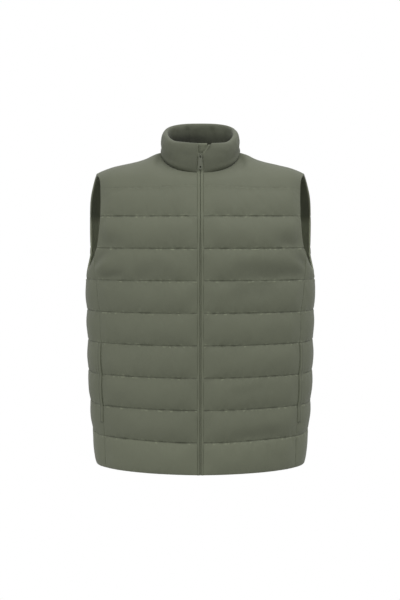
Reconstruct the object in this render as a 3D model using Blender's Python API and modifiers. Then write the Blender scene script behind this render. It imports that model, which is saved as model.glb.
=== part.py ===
"""Quilted puffer vest, filled out as if worn, with open neck, armholes and hem.

Metres, +Z up. The vest faces -Y, and the wearer's left is +X. The origin lies between the
shoulders, level with the points where the shoulder seams meet the neck.
"""

import math
from collections import namedtuple
from functools import lru_cache

import bmesh
import bpy
import numpy as np

# Walls and seams
SEAM_GAP = 0.0003
NECK_GAP = 0.0005
WALL = 0.0035
PUFF_FACING = 0.0068
PUFF_SIDEWAYS = 0.0032
PUFF_YOKE = 0.0050
EDGE_EASE = 0.030
SEWN_EDGE_FILL = 0.45
ARMHOLE_EDGE_FILL = 0.15
ZIP_EDGE_FILL = 0.25

# Quilting: nine stitched lines, evenly spaced, above the hem
FIRST_SEAM_Z = -0.0635
SEAM_PITCH = 0.0652
SEAM_COUNT = 9
HEM_Z = -0.654
HEM_RISE = 0.0055
HEM_RISE_POWER = 1.6
FIRST_SEAM_PUFF = 0.45
FIRST_SEAM_SIDE_PUFF = 0.85

# Armholes
UNDERARM_Z = -0.249
UNDERARM_SHARE = 0.2
UNDERARM_CURVE_POWER = 1.7

# Neck
NECK_HALF_WIDTH = 0.0808
NECK_FRONT_Y = -0.085
NECK_BACK_Y = 0.078
NECK_FRONT_Z = -0.0392
NECK_BACK_Z = 0.006
NECK_POINT_Z = 0.0045
NECK_CURVE_POWER = 1.15
NECK_LIFT = 0.85
NECK_POINT_LIFT = 0.40
NECK_POINT_TURN = math.radians(40.0)

# Collar
COLLAR_HALF_WIDTH = 0.0722
COLLAR_FRONT_Y = -0.0830
COLLAR_BACK_Y = 0.0715
COLLAR_FRONT_TOP_Z = 0.0205
COLLAR_BACK_TOP_Z = 0.0692
COLLAR_BACK_ROUNDNESS = 2.7
COLLAR_END_THINNING = 0.35
COLLAR_END_EASE = 0.030
COLLAR_QUARTER = 0.125
LAPEL_LEAN = 0.0165
LEAN_FROM_SHARE = 0.59

# Zip
ZIP_HALF_WIDTH = 0.0065
TAPE_THICK = 0.0018
TAPE_RECESS = 0.0008
TAPE_TOP_Z = 0.0175
SLIDER_Z = -0.0045
SLIDER_HALF_WIDTH = 0.0042
SLIDER_LENGTH = 0.0095
SLIDER_PLATE = 0.0012
SLIDER_POST_HALF_WIDTH = 0.0012
SLIDER_POST_LENGTH = 0.0021
SLIDER_POST_DROP = 0.0006
SLIDER_EDGE_BEVEL = 0.0002
SLIDER_CLEARANCE = 0.0004
TAPE_PARTING_LENGTH = 0.0040
BAIL_RISE = 0.0040
BAIL_WIRE = 0.0007
BAIL_HALF_LENGTH = 0.0034
BAIL_CROWN_SHARE = 0.55
BAIL_FOOT_SHARE = 0.7
TAB_LENGTH = 0.0290
TAB_TOP_WIDTH = 0.0080
TAB_END_WIDTH = 0.0092
TAB_WIDENS_FROM = 0.0100
TAB_WIDENS_TO = 0.0160
TAB_CORNER = 0.0015
TAB_THICK = 0.0014
TAB_CROSSBAR = 0.0007
TAB_RAIL = 0.0023
TAB_WINDOW_PLAY = 0.0010
TAB_HOLE_RADIUS = 0.0011
TAB_HOLE_FROM_END = 0.0052

# Wind guard behind the zip
GUARD_HALF_WIDTH = 0.0140
GUARD_THICK = 0.0018
GUARD_GAP = 0.0005
GUARD_TOP_Z = 0.0175

# Pocket welts
POCKET_TOP_Z = -0.385
POCKET_BOTTOM_Z = -0.567
WELT_THICK = 0.0015

Section = namedtuple("Section", "z front_half back_half front_depth back_depth roundness")
SECTIONS = (
    Section(-0.654, 0.2175, 0.2175, 0.1400, 0.1440, 2.1),
    Section(-0.585, 0.2245, 0.2245, 0.1440, 0.1440, 2.3),
    Section(-0.520, 0.2300, 0.2300, 0.1460, 0.1430, 2.3),
    Section(-0.455, 0.2340, 0.2340, 0.1480, 0.1420, 2.3),
    Section(-0.389, 0.2350, 0.2350, 0.1490, 0.1430, 2.3),
    Section(-0.324, 0.2370, 0.2370, 0.1500, 0.1450, 2.3),
    Section(-0.259, 0.2385, 0.2385, 0.1500, 0.1480, 2.3),
    Section(-0.194, 0.2365, 0.2435, 0.1460, 0.1480, 2.3),
    Section(-0.129, 0.2345, 0.2480, 0.1330, 0.1400, 2.2),
    Section(-0.0635, 0.2310, 0.2460, 0.1060, 0.1140, 2.0),
)

Edge = namedtuple("Edge", "z x")
FRONT_EDGE = (
    Edge(-0.654, 0.1945),
    Edge(-0.583, 0.1960),
    Edge(-0.520, 0.1995),
    Edge(-0.450, 0.2020),
    Edge(-0.385, 0.2035),
    Edge(-0.340, 0.2045),
    Edge(-0.300, 0.2085),
    Edge(-0.260, 0.2135),
    Edge(-0.2066, 0.2175),
    Edge(-0.190, 0.2125),
    Edge(-0.165, 0.2085),
    Edge(-0.130, 0.2062),
    Edge(-0.095, 0.2055),
    Edge(-0.0635, 0.2068),
)
BACK_EDGE = (
    Edge(-0.654, 0.1900),
    Edge(-0.583, 0.1970),
    Edge(-0.500, 0.2030),
    Edge(-0.400, 0.2070),
    Edge(-0.340, 0.2105),
    Edge(-0.300, 0.2160),
    Edge(-0.260, 0.2245),
    Edge(-0.2066, 0.2345),
    Edge(-0.160, 0.2352),
    Edge(-0.132, 0.2355),
    Edge(-0.104, 0.2345),
    Edge(-0.083, 0.2320),
    Edge(-0.0635, 0.2275),
)

Shoulder = namedtuple("Shoulder", "x z")
SHOULDER_LINE = (
    Shoulder(NECK_HALF_WIDTH, NECK_POINT_Z),
    Shoulder(0.1180, -0.0100),
    Shoulder(0.1500, -0.0210),
    Shoulder(0.1760, -0.0268),
    Shoulder(0.1950, -0.0325),
    Shoulder(0.2085, -0.0362),
    Shoulder(0.2180, -0.0405),
)

# How far one channel is filled, by the share of its height below its upper seam
Fill = namedtuple("Fill", "share puff")
CHANNEL_FILL = (
    Fill(0.0, 0.0),
    Fill(0.2, 0.68),
    Fill(0.5, 1.0),
    Fill(0.8, 0.74),
)
YOKE_FILL = (
    Fill(0.18, 0.85),
    Fill(0.38, 1.0),
    Fill(0.60, 1.0),
    Fill(0.82, 0.72),
    Fill(1.0, 0.0),
)

# The collar's profile: share of its height, and how far each face stands off its middle line
Profile = namedtuple("Profile", "share outer inner")
COLLAR_PROFILE = (
    Profile(0.10, 0.0046, 0.0040),
    Profile(0.28, 0.0068, 0.0058),
    Profile(LEAN_FROM_SHARE, 0.0076, 0.0064),
    Profile(0.75, 0.0077, 0.0064),
    Profile(0.88, 0.0068, 0.0056),
    Profile(0.965, 0.0045, 0.0038),
    Profile(1.0, 0.0014, 0.0014),
)

# Where the columns of points lie: shares of the neck and of the shoulder on each panel
FRONT_NECK_SHARES = (0.0, 0.12, 0.33, 0.56, 0.80, 1.0)
BACK_NECK_SHARES = (0.0, 0.25, 0.50, 0.76, 1.0)
SHOULDER_SHARES = (0.20, 0.40, 0.60, 0.78, 0.91, 1.0)
FRONT_NECK_END = 0.45
BACK_NECK_END = 0.40
SIDE_SHARES = (0.0, 0.06, 0.20, 0.35, 0.50, 0.65, 0.80, 0.94, 1.0)

SHELL_COLOUR = (0.135, 0.146, 0.100)
ZIP_COLOUR = (0.110, 0.118, 0.082)
METAL_COLOUR = (0.120, 0.125, 0.105)

SIDE_SIGNS = {"left": 1.0, "right": -1.0}


def clear_scene():
    for obj in list(bpy.data.objects):
        bpy.data.objects.remove(obj, do_unlink=True)


def make_collection(name):
    collection = bpy.data.collections.new(name)
    bpy.context.scene.collection.children.link(collection)
    return collection


def make_material(name, colour, roughness, metallic=0.0):
    material = bpy.data.materials.new(name)
    material.use_nodes = True
    shader = material.node_tree.nodes["Principled BSDF"]
    shader.inputs["Base Color"].default_value = (*colour, 1.0)
    shader.inputs["Roughness"].default_value = roughness
    shader.inputs["Metallic"].default_value = metallic
    return material


def unit(vector):
    return vector / np.linalg.norm(vector)


def mix(a, b, share):
    return a + (b - a) * share


def ease(value):
    value = min(max(value, 0.0), 1.0)
    return value * value * (3.0 - 2.0 * value)


def smooth_through(xs, ys, x):
    """A smooth curve through the rows of a table, with slopes taken from the neighbours."""
    xs = np.asarray(xs)
    ys = np.asarray(ys)
    slopes = np.gradient(ys, xs)
    i = int(np.clip(np.searchsorted(xs, x) - 1, 0, len(xs) - 2))
    width = xs[i + 1] - xs[i]
    t = (x - xs[i]) / width
    rise = t * t * (3.0 - 2.0 * t)
    start = t * (1.0 - t) ** 2 * width * slopes[i]
    end = -t * t * (1.0 - t) * width * slopes[i + 1]
    return ys[i] * (1.0 - rise) + ys[i + 1] * rise + start + end


def column(rows, name):
    return [getattr(row, name) for row in rows]


@lru_cache(maxsize=None)
def section_curve(z, back):
    """Half of the body's outline at one height, from its middle to its side, with its arc length."""
    side = "back" if back else "front"
    heights = column(SECTIONS, "z")
    half = smooth_through(heights, column(SECTIONS, side + "_half"), z)
    depth = smooth_through(heights, column(SECTIONS, side + "_depth"), z)
    power = 2.0 / smooth_through(heights, column(SECTIONS, "roundness"), z)
    angles = np.linspace(0.0, math.pi / 2, 181)
    x = half * np.sin(angles) ** power
    y = depth * np.maximum(np.cos(angles), 0.0) ** power * (1.0 if back else -1.0)
    steps = np.hypot(np.diff(x), np.diff(y))
    return x, y, np.concatenate([[0.0], np.cumsum(steps)])


def arc_at_x(z, back, x):
    xs, _, arc = section_curve(z, back)
    return float(np.interp(x, xs, arc))


def body_point(z, back, arc):
    """A point of the body at this height, by its distance along the outline from the middle."""
    xs, ys, arcs = section_curve(z, back)
    return np.array([np.interp(arc, arcs, xs), np.interp(arc, arcs, ys), z])


def edge_arc(z, back):
    rows = BACK_EDGE if back else FRONT_EDGE
    return arc_at_x(z, back, float(np.interp(z, column(rows, "z"), column(rows, "x"))))


def seam_z(number):
    """The height of a stitched line, the first at the top. The hem counts as the last."""
    if number > SEAM_COUNT:
        return HEM_Z
    return FIRST_SEAM_Z - SEAM_PITCH * (number - 1)


def body_rows():
    """(height, puff) of each row of points from the hem to the first seam."""
    rows = []
    for number in range(SEAM_COUNT, 0, -1):
        upper = seam_z(number)
        lower = seam_z(number + 1)
        if not rows:
            rows.append((lower, 0.0))
        for fill in reversed(CHANNEL_FILL):
            puff = FIRST_SEAM_PUFF if number == 1 and fill.share == 0.0 else fill.puff
            rows.append((mix(upper, lower, fill.share), puff))
    return rows


JOIN_Z = seam_z(3) - UNDERARM_SHARE * SEAM_PITCH


def panel_columns(back):
    shares = BACK_NECK_SHARES if back else FRONT_NECK_SHARES
    end = BACK_NECK_END if back else FRONT_NECK_END
    return [share * end for share in shares] + [mix(end, 1.0, share) for share in SHOULDER_SHARES]


def level_point(u, z, back):
    """A point of the front or back panel below the yoke. u runs from the middle to the outer edge."""
    start = 0.0 if back else arc_at_x(z, back, ZIP_HALF_WIDTH)
    end = edge_arc(z, back) - SEAM_GAP / 2
    return body_point(z, back, mix(start, end, u))


def neck_angle(share, back, half_width=NECK_HALF_WIDTH):
    """The angle round the neck, from the middle of the front or back to the shoulder."""
    first = 0.0 if back else math.asin(ZIP_HALF_WIDTH / half_width)
    return mix(first, math.pi / 2, share)


def top_edge(u, back):
    """(point, arriving direction) where a yoke ends: on the neck seam, then on the shoulder seam."""
    facing = -1.0 if back else 1.0
    neck_end = BACK_NECK_END if back else FRONT_NECK_END
    if u <= neck_end:
        share = u / neck_end
        angle = neck_angle(share, back)
        x = NECK_HALF_WIDTH * math.sin(angle)
        depth = NECK_BACK_Y if back else NECK_FRONT_Y
        y = depth * math.cos(angle)
        middle_z = NECK_BACK_Z if back else NECK_FRONT_Z
        z = mix(NECK_POINT_Z, middle_z, 1.0 - (1.0 - math.cos(angle)) ** NECK_CURVE_POWER)
        turn = mix(angle, NECK_POINT_TURN, share**2)
        lift = mix(NECK_LIFT, NECK_POINT_LIFT, share**2)
    else:
        share = (u - neck_end) / (1.0 - neck_end)
        x = mix(NECK_HALF_WIDTH, SHOULDER_LINE[-1].x, share)
        y = 0.0
        z = smooth_through(column(SHOULDER_LINE, "x"), column(SHOULDER_LINE, "z"), x)
        turn = NECK_POINT_TURN * (1.0 - share) ** 2
        lift = NECK_POINT_LIFT * (1.0 - share) ** 2
    y -= facing * SEAM_GAP / 2
    direction = unit(np.array([-math.sin(turn), facing * math.cos(turn), lift]))
    return np.array([x, y, z]), direction


def yoke_point(u, share, back):
    """A point between the first seam, share 0, and the neck or shoulder seam, share 1."""
    step = 0.002
    low = level_point(u, FIRST_SEAM_Z, back)
    rising = unit(low - level_point(u, FIRST_SEAM_Z - step, back))
    high, arriving = top_edge(u, back)
    reach = np.linalg.norm(high - low)
    t = share
    rise = t * t * (3.0 - 2.0 * t)
    leave = t * (1.0 - t) ** 2 * reach
    arrive = -t * t * (1.0 - t) * reach
    return low * (1.0 - rise) + high * rise + rising * leave + arriving * arrive


def panel_rows():
    """(kind, place, puff) of each row of a front or back panel, from the hem to the top."""
    rows = [("level", z, puff) for z, puff in body_rows()]
    return rows + [("yoke", fill.share, fill.puff) for fill in YOKE_FILL]


def panel_point(u, kind, place, back):
    u = min(max(u, 0.0), 1.0)
    if kind == "level":
        return level_point(u, place, back)
    return yoke_point(u, place, back)


def panel_normal(u, kind, place, back):
    step_u = 0.004
    step_v = 0.0008 if kind == "level" else 0.01
    neck_end = BACK_NECK_END if back else FRONT_NECK_END
    low_u = u if abs(u - neck_end) < 1e-6 and kind == "yoke" else max(u - step_u, 0.0)
    high_u = min(u + step_u, 1.0)
    across = panel_point(high_u, kind, place, back) - panel_point(low_u, kind, place, back)
    if kind == "yoke" and place == 1.0 and u >= neck_end - 1e-6:
        up = np.array([0.0, -1.0 if back else 1.0, 0.0])
    elif kind == "yoke":
        high = min(place + step_v, 1.0)
        low = max(place - step_v, 0.0)
        up = panel_point(u, kind, high, back) - panel_point(u, kind, low, back)
    else:
        low = max(place - step_v, HEM_Z)
        high = min(place + step_v, FIRST_SEAM_Z)
        up = panel_point(u, kind, high, back) - panel_point(u, kind, low, back)
    normal = np.cross(across, up)
    return unit(-normal if back else normal)


def puff_height(puff, normal, kind):
    facing = abs(normal[1]) if kind == "level" else 1.0
    size = mix(PUFF_SIDEWAYS, PUFF_FACING, facing**2) if kind == "level" else PUFF_YOKE
    return size * puff


def panel_edge_ease(u, kind, place, back):
    """How far the filling is held down near a panel's sewn edges."""
    if kind == "level":
        length = edge_arc(place, back)
        joined = place < JOIN_Z
    else:
        length = edge_arc(FIRST_SEAM_Z, back)
        joined = False
    edge_fill = SEWN_EDGE_FILL if joined else ARMHOLE_EDGE_FILL
    outer = mix(edge_fill, 1.0, ease((1.0 - u) * length / EDGE_EASE))
    middle = 1.0 if back else mix(ZIP_EDGE_FILL, 1.0, ease(u * length / EDGE_EASE))
    return outer * middle


def raise_hem(point):
    """The hem line climbs a little from the middle of the front and back to the sides."""
    if point[2] == HEM_Z:
        point[2] += HEM_RISE * (point[0] / SECTIONS[0].front_half) ** HEM_RISE_POWER


def panel_surface(u, row, back):
    """(outer point, inner point) of a front or back panel, on the +X side."""
    kind, place, puff = row
    point = panel_point(u, kind, place, back)
    normal = panel_normal(u, kind, place, back)
    if place == FIRST_SEAM_Z:
        puff = mix(puff, FIRST_SEAM_SIDE_PUFF, u**2)
    height = puff_height(puff, normal, kind) * panel_edge_ease(u, kind, place, back)
    raise_hem(point)
    return point + normal * height, point - normal * WALL


def side_length(z, back):
    return section_curve(z, back)[2][-1]


def side_point(u, z):
    """A point of the side panel, with u running from its front seam to its back seam."""
    front = side_length(z, False) - edge_arc(z, False) - SEAM_GAP / 2
    back = side_length(z, True) - edge_arc(z, True) - SEAM_GAP / 2
    place = mix(-front, back, u)
    if place < 0.0:
        return body_point(z, False, side_length(z, False) + place)
    return body_point(z, True, side_length(z, True) - place)


def side_normal(u, z):
    step = 0.02
    low = max(u - step, 0.0)
    high = min(u + step, 1.0)
    across = side_point(high, z) - side_point(low, z)
    up = side_point(u, z + 0.0008) - side_point(u, z - 0.0008)
    return unit(np.cross(across, up))


def side_rows():
    """(height or None, share of the underarm band, puff) of each row of a side panel."""
    rows = [(z, None, puff) for z, puff in body_rows() if z <= seam_z(4) + 1e-9]
    band = [(z, puff) for z, puff in body_rows() if seam_z(4) + 1e-9 < z <= JOIN_Z + 1e-9]
    for z, puff in band:
        share = (z - seam_z(4)) / (JOIN_Z - seam_z(4))
        rows.append((None, share, puff if share < 1.0 - 1e-9 else 0.0))
    return rows


def side_surface(u, row):
    z, share, puff = row
    if z is None:
        top = mix(UNDERARM_Z, JOIN_Z, abs(2.0 * u - 1.0) ** UNDERARM_CURVE_POWER)
        z = mix(seam_z(4), top, share)
        puff *= (top - seam_z(4)) / (JOIN_Z - seam_z(4))
    point = side_point(u, z)
    normal = side_normal(u, z)
    length = side_length(z, False) + side_length(z, True) - edge_arc(z, False) - edge_arc(z, True)
    from_edge = min(u, 1.0 - u) * length
    hold = mix(SEWN_EDGE_FILL, 1.0, ease(from_edge / EDGE_EASE))
    raise_hem(point)
    return point + normal * puff_height(puff, normal, "level") * hold, point - normal * WALL


def make_slab(name, across, along, surface, material, collection):
    """One closed wall from a grid: surface(i, j) gives its outer and its inner point."""
    mesh = bmesh.new()
    bmesh.ops.create_grid(mesh, x_segments=across, y_segments=along, size=1.0)
    mesh.verts.ensure_lookup_table()
    label = mesh.verts.layers.int.new("place")
    for index, vert in enumerate(mesh.verts):
        vert[label] = index
    outer_count = len(mesh.verts)
    bmesh.ops.solidify(mesh, geom=mesh.faces[:], thickness=0.1)
    mesh.verts.ensure_lookup_table()
    for index, vert in enumerate(mesh.verts):
        j, i = divmod(vert[label], across + 1)
        outer, inner = surface(i, j)
        vert.co = outer if index < outer_count else inner
    mesh.verts.layers.int.remove(label)
    if mesh.calc_volume(signed=True) < 0.0:
        bmesh.ops.reverse_faces(mesh, faces=mesh.faces[:])
    data = bpy.data.meshes.new(name)
    mesh.to_mesh(data)
    mesh.free()
    data.shade_smooth()
    data.set_sharp_from_angle(angle=math.radians(50.0))
    data.materials.append(material)
    obj = bpy.data.objects.new(name, data)
    collection.objects.link(obj)
    return obj


def mirrored(point, sign):
    return (point[0] * sign, point[1], point[2])


def make_front(side, material, collection):
    sign = SIDE_SIGNS[side]
    columns = panel_columns(False)
    rows = panel_rows()

    def surface(i, j):
        outer, inner = panel_surface(columns[i], rows[j], False)
        return mirrored(outer, sign), mirrored(inner, sign)

    across = len(columns) - 1
    return make_slab("front_" + side, across, len(rows) - 1, surface, material, collection)


def make_back(material, collection):
    half = panel_columns(True)
    columns = [-u for u in reversed(half[1:])] + half
    rows = panel_rows()

    def surface(i, j):
        outer, inner = panel_surface(abs(columns[i]), rows[j], True)
        sign = math.copysign(1.0, columns[i])
        return mirrored(outer, sign), mirrored(inner, sign)

    return make_slab("back", len(columns) - 1, len(rows) - 1, surface, material, collection)


def make_side(side, material, collection):
    sign = SIDE_SIGNS[side]
    rows = side_rows()

    def surface(i, j):
        outer, inner = side_surface(SIDE_SHARES[i], rows[j])
        return mirrored(outer, sign), mirrored(inner, sign)

    across = len(SIDE_SHARES) - 1
    return make_slab("side_" + side, across, len(rows) - 1, surface, material, collection)


def make_welt(side, material, collection):
    """A narrow strip on the side panel's front edge, made from that panel's points, moved out."""
    sign = SIDE_SIGNS[side]
    level_rows = [row for row in side_rows() if row[0] is not None]
    rows = [row for row in level_rows if POCKET_BOTTOM_Z <= row[0] <= POCKET_TOP_Z]

    def surface(i, j):
        outer, inner = side_surface(SIDE_SHARES[i], rows[j])
        normal = unit(outer - inner)
        low = outer + normal * SEAM_GAP
        high = low + normal * WELT_THICK
        return mirrored(high, sign), mirrored(low, sign)

    return make_slab("pocket_welt_" + side, 1, len(rows) - 1, surface, material, collection)


def collar_columns():
    """(sign, neck share, back) of each column, from the right front end round the back."""
    right = [(-1.0, share, False) for share in FRONT_NECK_SHARES]
    right += [(-1.0, share, True) for share in reversed(BACK_NECK_SHARES[:-1])]
    left = [(1.0, share, True) for share in BACK_NECK_SHARES[1:-1]]
    left += [(1.0, share, False) for share in reversed(FRONT_NECK_SHARES)]
    return right + left


def neck_seam(share, back):
    """(outer point, inner point, direction across the seam) of the panels' edge at the neck."""
    end = BACK_NECK_END if back else FRONT_NECK_END
    u = share * end
    outer, inner = panel_surface(u, ("yoke", 1.0, 0.0), back)
    if share == 1.0:
        outer[1] = 0.0
        inner[1] = 0.0
        along = np.array([0.0, 1.0, 0.0])
    else:
        step = 0.002
        along = top_edge(u + step, back)[0] - top_edge(max(u - step, 0.0), back)[0]
    direction = unit(np.cross(along, outer - inner))
    return outer, inner, direction * math.copysign(1.0, direction[2])


def collar_top(share, back, lean):
    """A point of the collar's crest. A front end may lean outwards, level with where it was."""
    angle = neck_angle(share, back, COLLAR_HALF_WIDTH)
    power = 2.0 / COLLAR_BACK_ROUNDNESS if back else 1.0
    depth = COLLAR_BACK_Y if back else COLLAR_FRONT_Y
    x = COLLAR_HALF_WIDTH * math.sin(angle) ** power
    y = depth * max(math.cos(angle), 0.0) ** power
    slope = (COLLAR_BACK_TOP_Z - COLLAR_FRONT_TOP_Z) / (COLLAR_BACK_Y - COLLAR_FRONT_Y)
    z = COLLAR_FRONT_TOP_Z + slope * (y - COLLAR_FRONT_Y)
    if lean:
        x += lean * (1.0 - share) ** 2
        y = depth * math.sqrt(1.0 - min(x / COLLAR_HALF_WIDTH, 1.0) ** 2)
    return np.array([x, y, z])


@lru_cache(maxsize=None)
def collar_front_base_z():
    outer, inner, direction = neck_seam(0.0, False)
    return float(((outer + inner) / 2 + direction * NECK_GAP)[2])


def collar_lean(z, sign):
    """The left front end leans away from the zip above the slider."""
    if sign < 0.0:
        return 0.0
    start = mix(collar_front_base_z(), COLLAR_FRONT_TOP_Z, LEAN_FROM_SHARE)
    return LAPEL_LEAN * max(z - start, 0.0) / (COLLAR_FRONT_TOP_Z - start)


def collar_surface(place, profile):
    sign, share, back = place
    outer, inner, direction = neck_seam(share, back)
    if profile is None:
        return outer + direction * NECK_GAP, inner + direction * NECK_GAP
    middle = (outer + inner) / 2 + direction * NECK_GAP
    plain_top = collar_top(share, back, 0.0)
    height = mix(middle[2], plain_top[2], profile.share)
    lean = 0.0 if back else collar_lean(height, sign)
    top = collar_top(share, back, lean / profile.share)
    point = mix(middle, top, profile.share)
    angle = share * math.pi / 2
    outward = np.array([math.sin(angle), math.cos(angle) * (1.0 if back else -1.0), 0.0])
    along = 1.0 if back else share * COLLAR_QUARTER / COLLAR_END_EASE
    thin = mix(COLLAR_END_THINNING, 1.0, ease(along))
    return point + outward * profile.outer * thin, point - outward * profile.inner * thin


def make_collar(material, collection):
    places = collar_columns()
    profiles = [None, *COLLAR_PROFILE]

    def surface(i, j):
        outer, inner = collar_surface(places[i], profiles[j])
        return mirrored(outer, places[i][0]), mirrored(inner, places[i][0])

    return make_slab("collar", len(places) - 1, len(profiles) - 1, surface, material, collection)


@lru_cache(maxsize=None)
def middle_line():
    """Points (y, z) up the middle of the front: the panels' edge, and above it the collar's."""
    points = [level_point(0.0, z, False)[1:] for z, _ in body_rows()]
    points += [yoke_point(0.0, fill.share, False)[1:] for fill in YOKE_FILL]
    neck = neck_seam(0.0, False)
    base = (neck[0] + neck[1]) / 2
    top = collar_top(0.0, False, 0.0)
    back_from_edge = TAPE_RECESS + TAPE_THICK / 2
    points = [point + (back_from_edge, 0.0) for point in points[:-1]]
    points += [mix(base, top, share)[1:] for share in (0.0, 0.28, 0.5, 0.72, 0.9, 1.0)]
    return np.array(points)


def middle_y(z):
    points = middle_line()
    return float(np.interp(z, points[:, 1], points[:, 0]))


def tape_edge(z, sign):
    """(x beside the cloth, x beside the other tape) of one zip tape at this height."""
    parted = ease((z - SLIDER_Z) / TAPE_PARTING_LENGTH + 0.5)
    inner = mix(SEAM_GAP / 2, SLIDER_POST_HALF_WIDTH + SLIDER_CLEARANCE, parted)
    lean = collar_lean(z, sign)
    return ZIP_HALF_WIDTH - SEAM_GAP + lean, inner + lean


def tape_rows():
    heights = [HEM_Z]
    for number in range(SEAM_COUNT, 0, -1):
        lower = seam_z(number + 1)
        upper = seam_z(number)
        heights += [mix(lower, upper, 0.5), upper]
    heights += [mix(FIRST_SEAM_Z, NECK_FRONT_Z, share) for share in (0.5, 1.0)]
    heights += [mix(NECK_FRONT_Z, SLIDER_Z, 0.55)]
    heights += [SLIDER_Z + TAPE_PARTING_LENGTH * share for share in (-1.5, -0.5, 0.0, 0.5, 1.5)]
    heights += [mix(SLIDER_Z, TAPE_TOP_Z, 0.7), TAPE_TOP_Z]
    return heights


def make_tape(side, material, collection):
    sign = SIDE_SIGNS[side]
    heights = tape_rows()
    shares = (0.0, 0.55, 1.0)

    def surface(i, j):
        z = heights[j]
        outer_x, inner_x = tape_edge(z, sign)
        x = mix(inner_x, outer_x, shares[i]) * sign
        y = middle_y(z)
        return (x, y - TAPE_THICK / 2, z), (x, y + TAPE_THICK / 2, z)

    along = len(heights) - 1
    return make_slab("zip_tape_" + side, len(shares) - 1, along, surface, material, collection)


def at_guard_edge(near, far):
    """Where the line between two points passes the edge of the wind guard."""
    return mix(near, far, (GUARD_HALF_WIDTH - near[0]) / (far[0] - near[0]))


def guard_line():
    """(y, z) and the inward direction of each row of the wind guard, just behind the cloth."""
    columns = panel_columns(False)
    rows = []
    for row in panel_rows()[:-1]:
        sides = [panel_surface(u, row, False) for u in columns[:2]]
        rows.append([at_guard_edge(sides[0][k], sides[1][k]) for k in (0, 1)])
    for profile in (None, *COLLAR_PROFILE):
        sides = [collar_surface((-1.0, share, False), profile) for share in FRONT_NECK_SHARES[:2]]
        pair = [at_guard_edge(sides[0][k], sides[1][k]) for k in (0, 1)]
        if pair[1][2] < GUARD_TOP_Z:
            rows.append(pair)
    return [(inner[1:], unit((inner - outer)[1:])) for outer, inner in rows]


def make_guard(material, collection):
    """The strip behind the zip, from the hem to the top of the collar."""
    line = guard_line()
    shares = (-1.0, 0.0, 1.0)

    def surface(i, j):
        place, inward = line[j]
        near = place + inward * GUARD_GAP
        far = near + inward * GUARD_THICK
        x = GUARD_HALF_WIDTH * shares[i]
        return (x, near[0], near[1]), (x, far[0], far[1])

    return make_slab("wind_guard", len(shares) - 1, len(line) - 1, surface, material, collection)


def make_box(name, centre, size, collection, material=None):
    mesh = bmesh.new()
    bmesh.ops.create_cube(mesh, size=1.0)
    bmesh.ops.scale(mesh, vec=size, verts=mesh.verts[:])
    bmesh.ops.translate(mesh, vec=centre, verts=mesh.verts[:])
    data = bpy.data.meshes.new(name)
    mesh.to_mesh(data)
    mesh.free()
    if material:
        data.materials.append(material)
    obj = bpy.data.objects.new(name, data)
    collection.objects.link(obj)
    return obj


def make_cutter(obj):
    obj.hide_render = True
    obj.display_type = "WIRE"
    return obj


def add_boolean(obj, other, operation):
    modifier = obj.modifiers.new(operation.lower() + "_" + other.name, "BOOLEAN")
    modifier.object = other
    modifier.operation = operation
    modifier.solver = "EXACT"


def slider_front_y():
    return middle_y(SLIDER_Z) - TAPE_THICK / 2 - SLIDER_CLEARANCE


def slider_back_y():
    return middle_y(SLIDER_Z) + TAPE_THICK / 2 + SLIDER_CLEARANCE


def hinge_point():
    return (0.0, slider_front_y() - SLIDER_PLATE - BAIL_RISE / 2 + BAIL_WIRE / 2, SLIDER_Z)


def make_slider(material, collection, helpers):
    """Two plates joined by a post between the tapes, with a wire bail across the front plate."""
    front = slider_front_y()
    back = slider_back_y()
    plate_size = (2 * SLIDER_HALF_WIDTH, SLIDER_PLATE, SLIDER_LENGTH)
    front_centre = (0.0, front - SLIDER_PLATE / 2, SLIDER_Z)
    rear_centre = (0.0, back + SLIDER_PLATE / 2, SLIDER_Z)
    body = make_box("zip_slider", front_centre, plate_size, collection, material)
    rear = make_box("slider_rear_plate", rear_centre, plate_size, helpers)
    post_z = SLIDER_Z + (SLIDER_LENGTH - SLIDER_POST_LENGTH) / 2 - SLIDER_POST_DROP
    post_size = (2 * SLIDER_POST_HALF_WIDTH, back - front + SLIDER_PLATE, SLIDER_POST_LENGTH)
    post = make_box("slider_post", (0.0, (front + back) / 2, post_z), post_size, helpers)
    bail = make_bail(front, helpers)
    for plate in (body, rear):
        bevel = plate.modifiers.new("edges", "BEVEL")
        bevel.width = SLIDER_EDGE_BEVEL
        bevel.segments = 1
    for other in (rear, post, bail):
        add_boolean(body, make_cutter(other), "UNION")
    return body


def make_bail(front, helpers):
    """A flat-topped hoop of wire that stands on the slider and holds the pull tab."""
    curve = bpy.data.curves.new("bail_wire", "CURVE")
    curve.dimensions = "3D"
    curve.bevel_depth = BAIL_WIRE
    curve.bevel_resolution = 1
    curve.use_fill_caps = True
    spline = curve.splines.new("POLY")
    foot = front - SLIDER_PLATE * BAIL_FOOT_SHARE
    crown = front - SLIDER_PLATE - BAIL_RISE
    shoulder = mix(front - SLIDER_PLATE, crown, BAIL_CROWN_SHARE)
    half = BAIL_HALF_LENGTH
    rise = ((foot, half), (shoulder, half), (crown, half * BAIL_CROWN_SHARE))
    path = [(y, -z) for y, z in rise] + list(reversed(rise))
    spline.points.add(len(path) - 1)
    for point, (y, z) in zip(spline.points, path):
        point.co = (0.0, y, SLIDER_Z + z, 1.0)
    wire = bpy.data.objects.new("bail_wire", curve)
    helpers.objects.link(wire)
    graph = bpy.context.evaluated_depsgraph_get()
    data = bpy.data.meshes.new_from_object(wire.evaluated_get(graph))
    mesh = bmesh.new()
    mesh.from_mesh(data)
    bmesh.ops.remove_doubles(mesh, verts=mesh.verts[:], dist=0.00001)
    mesh.to_mesh(data)
    mesh.free()
    bail = bpy.data.objects.new("slider_bail", data)
    bail.matrix_world = wire.matrix_world
    helpers.objects.link(bail)
    bpy.data.objects.remove(wire, do_unlink=True)
    return bail


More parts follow.
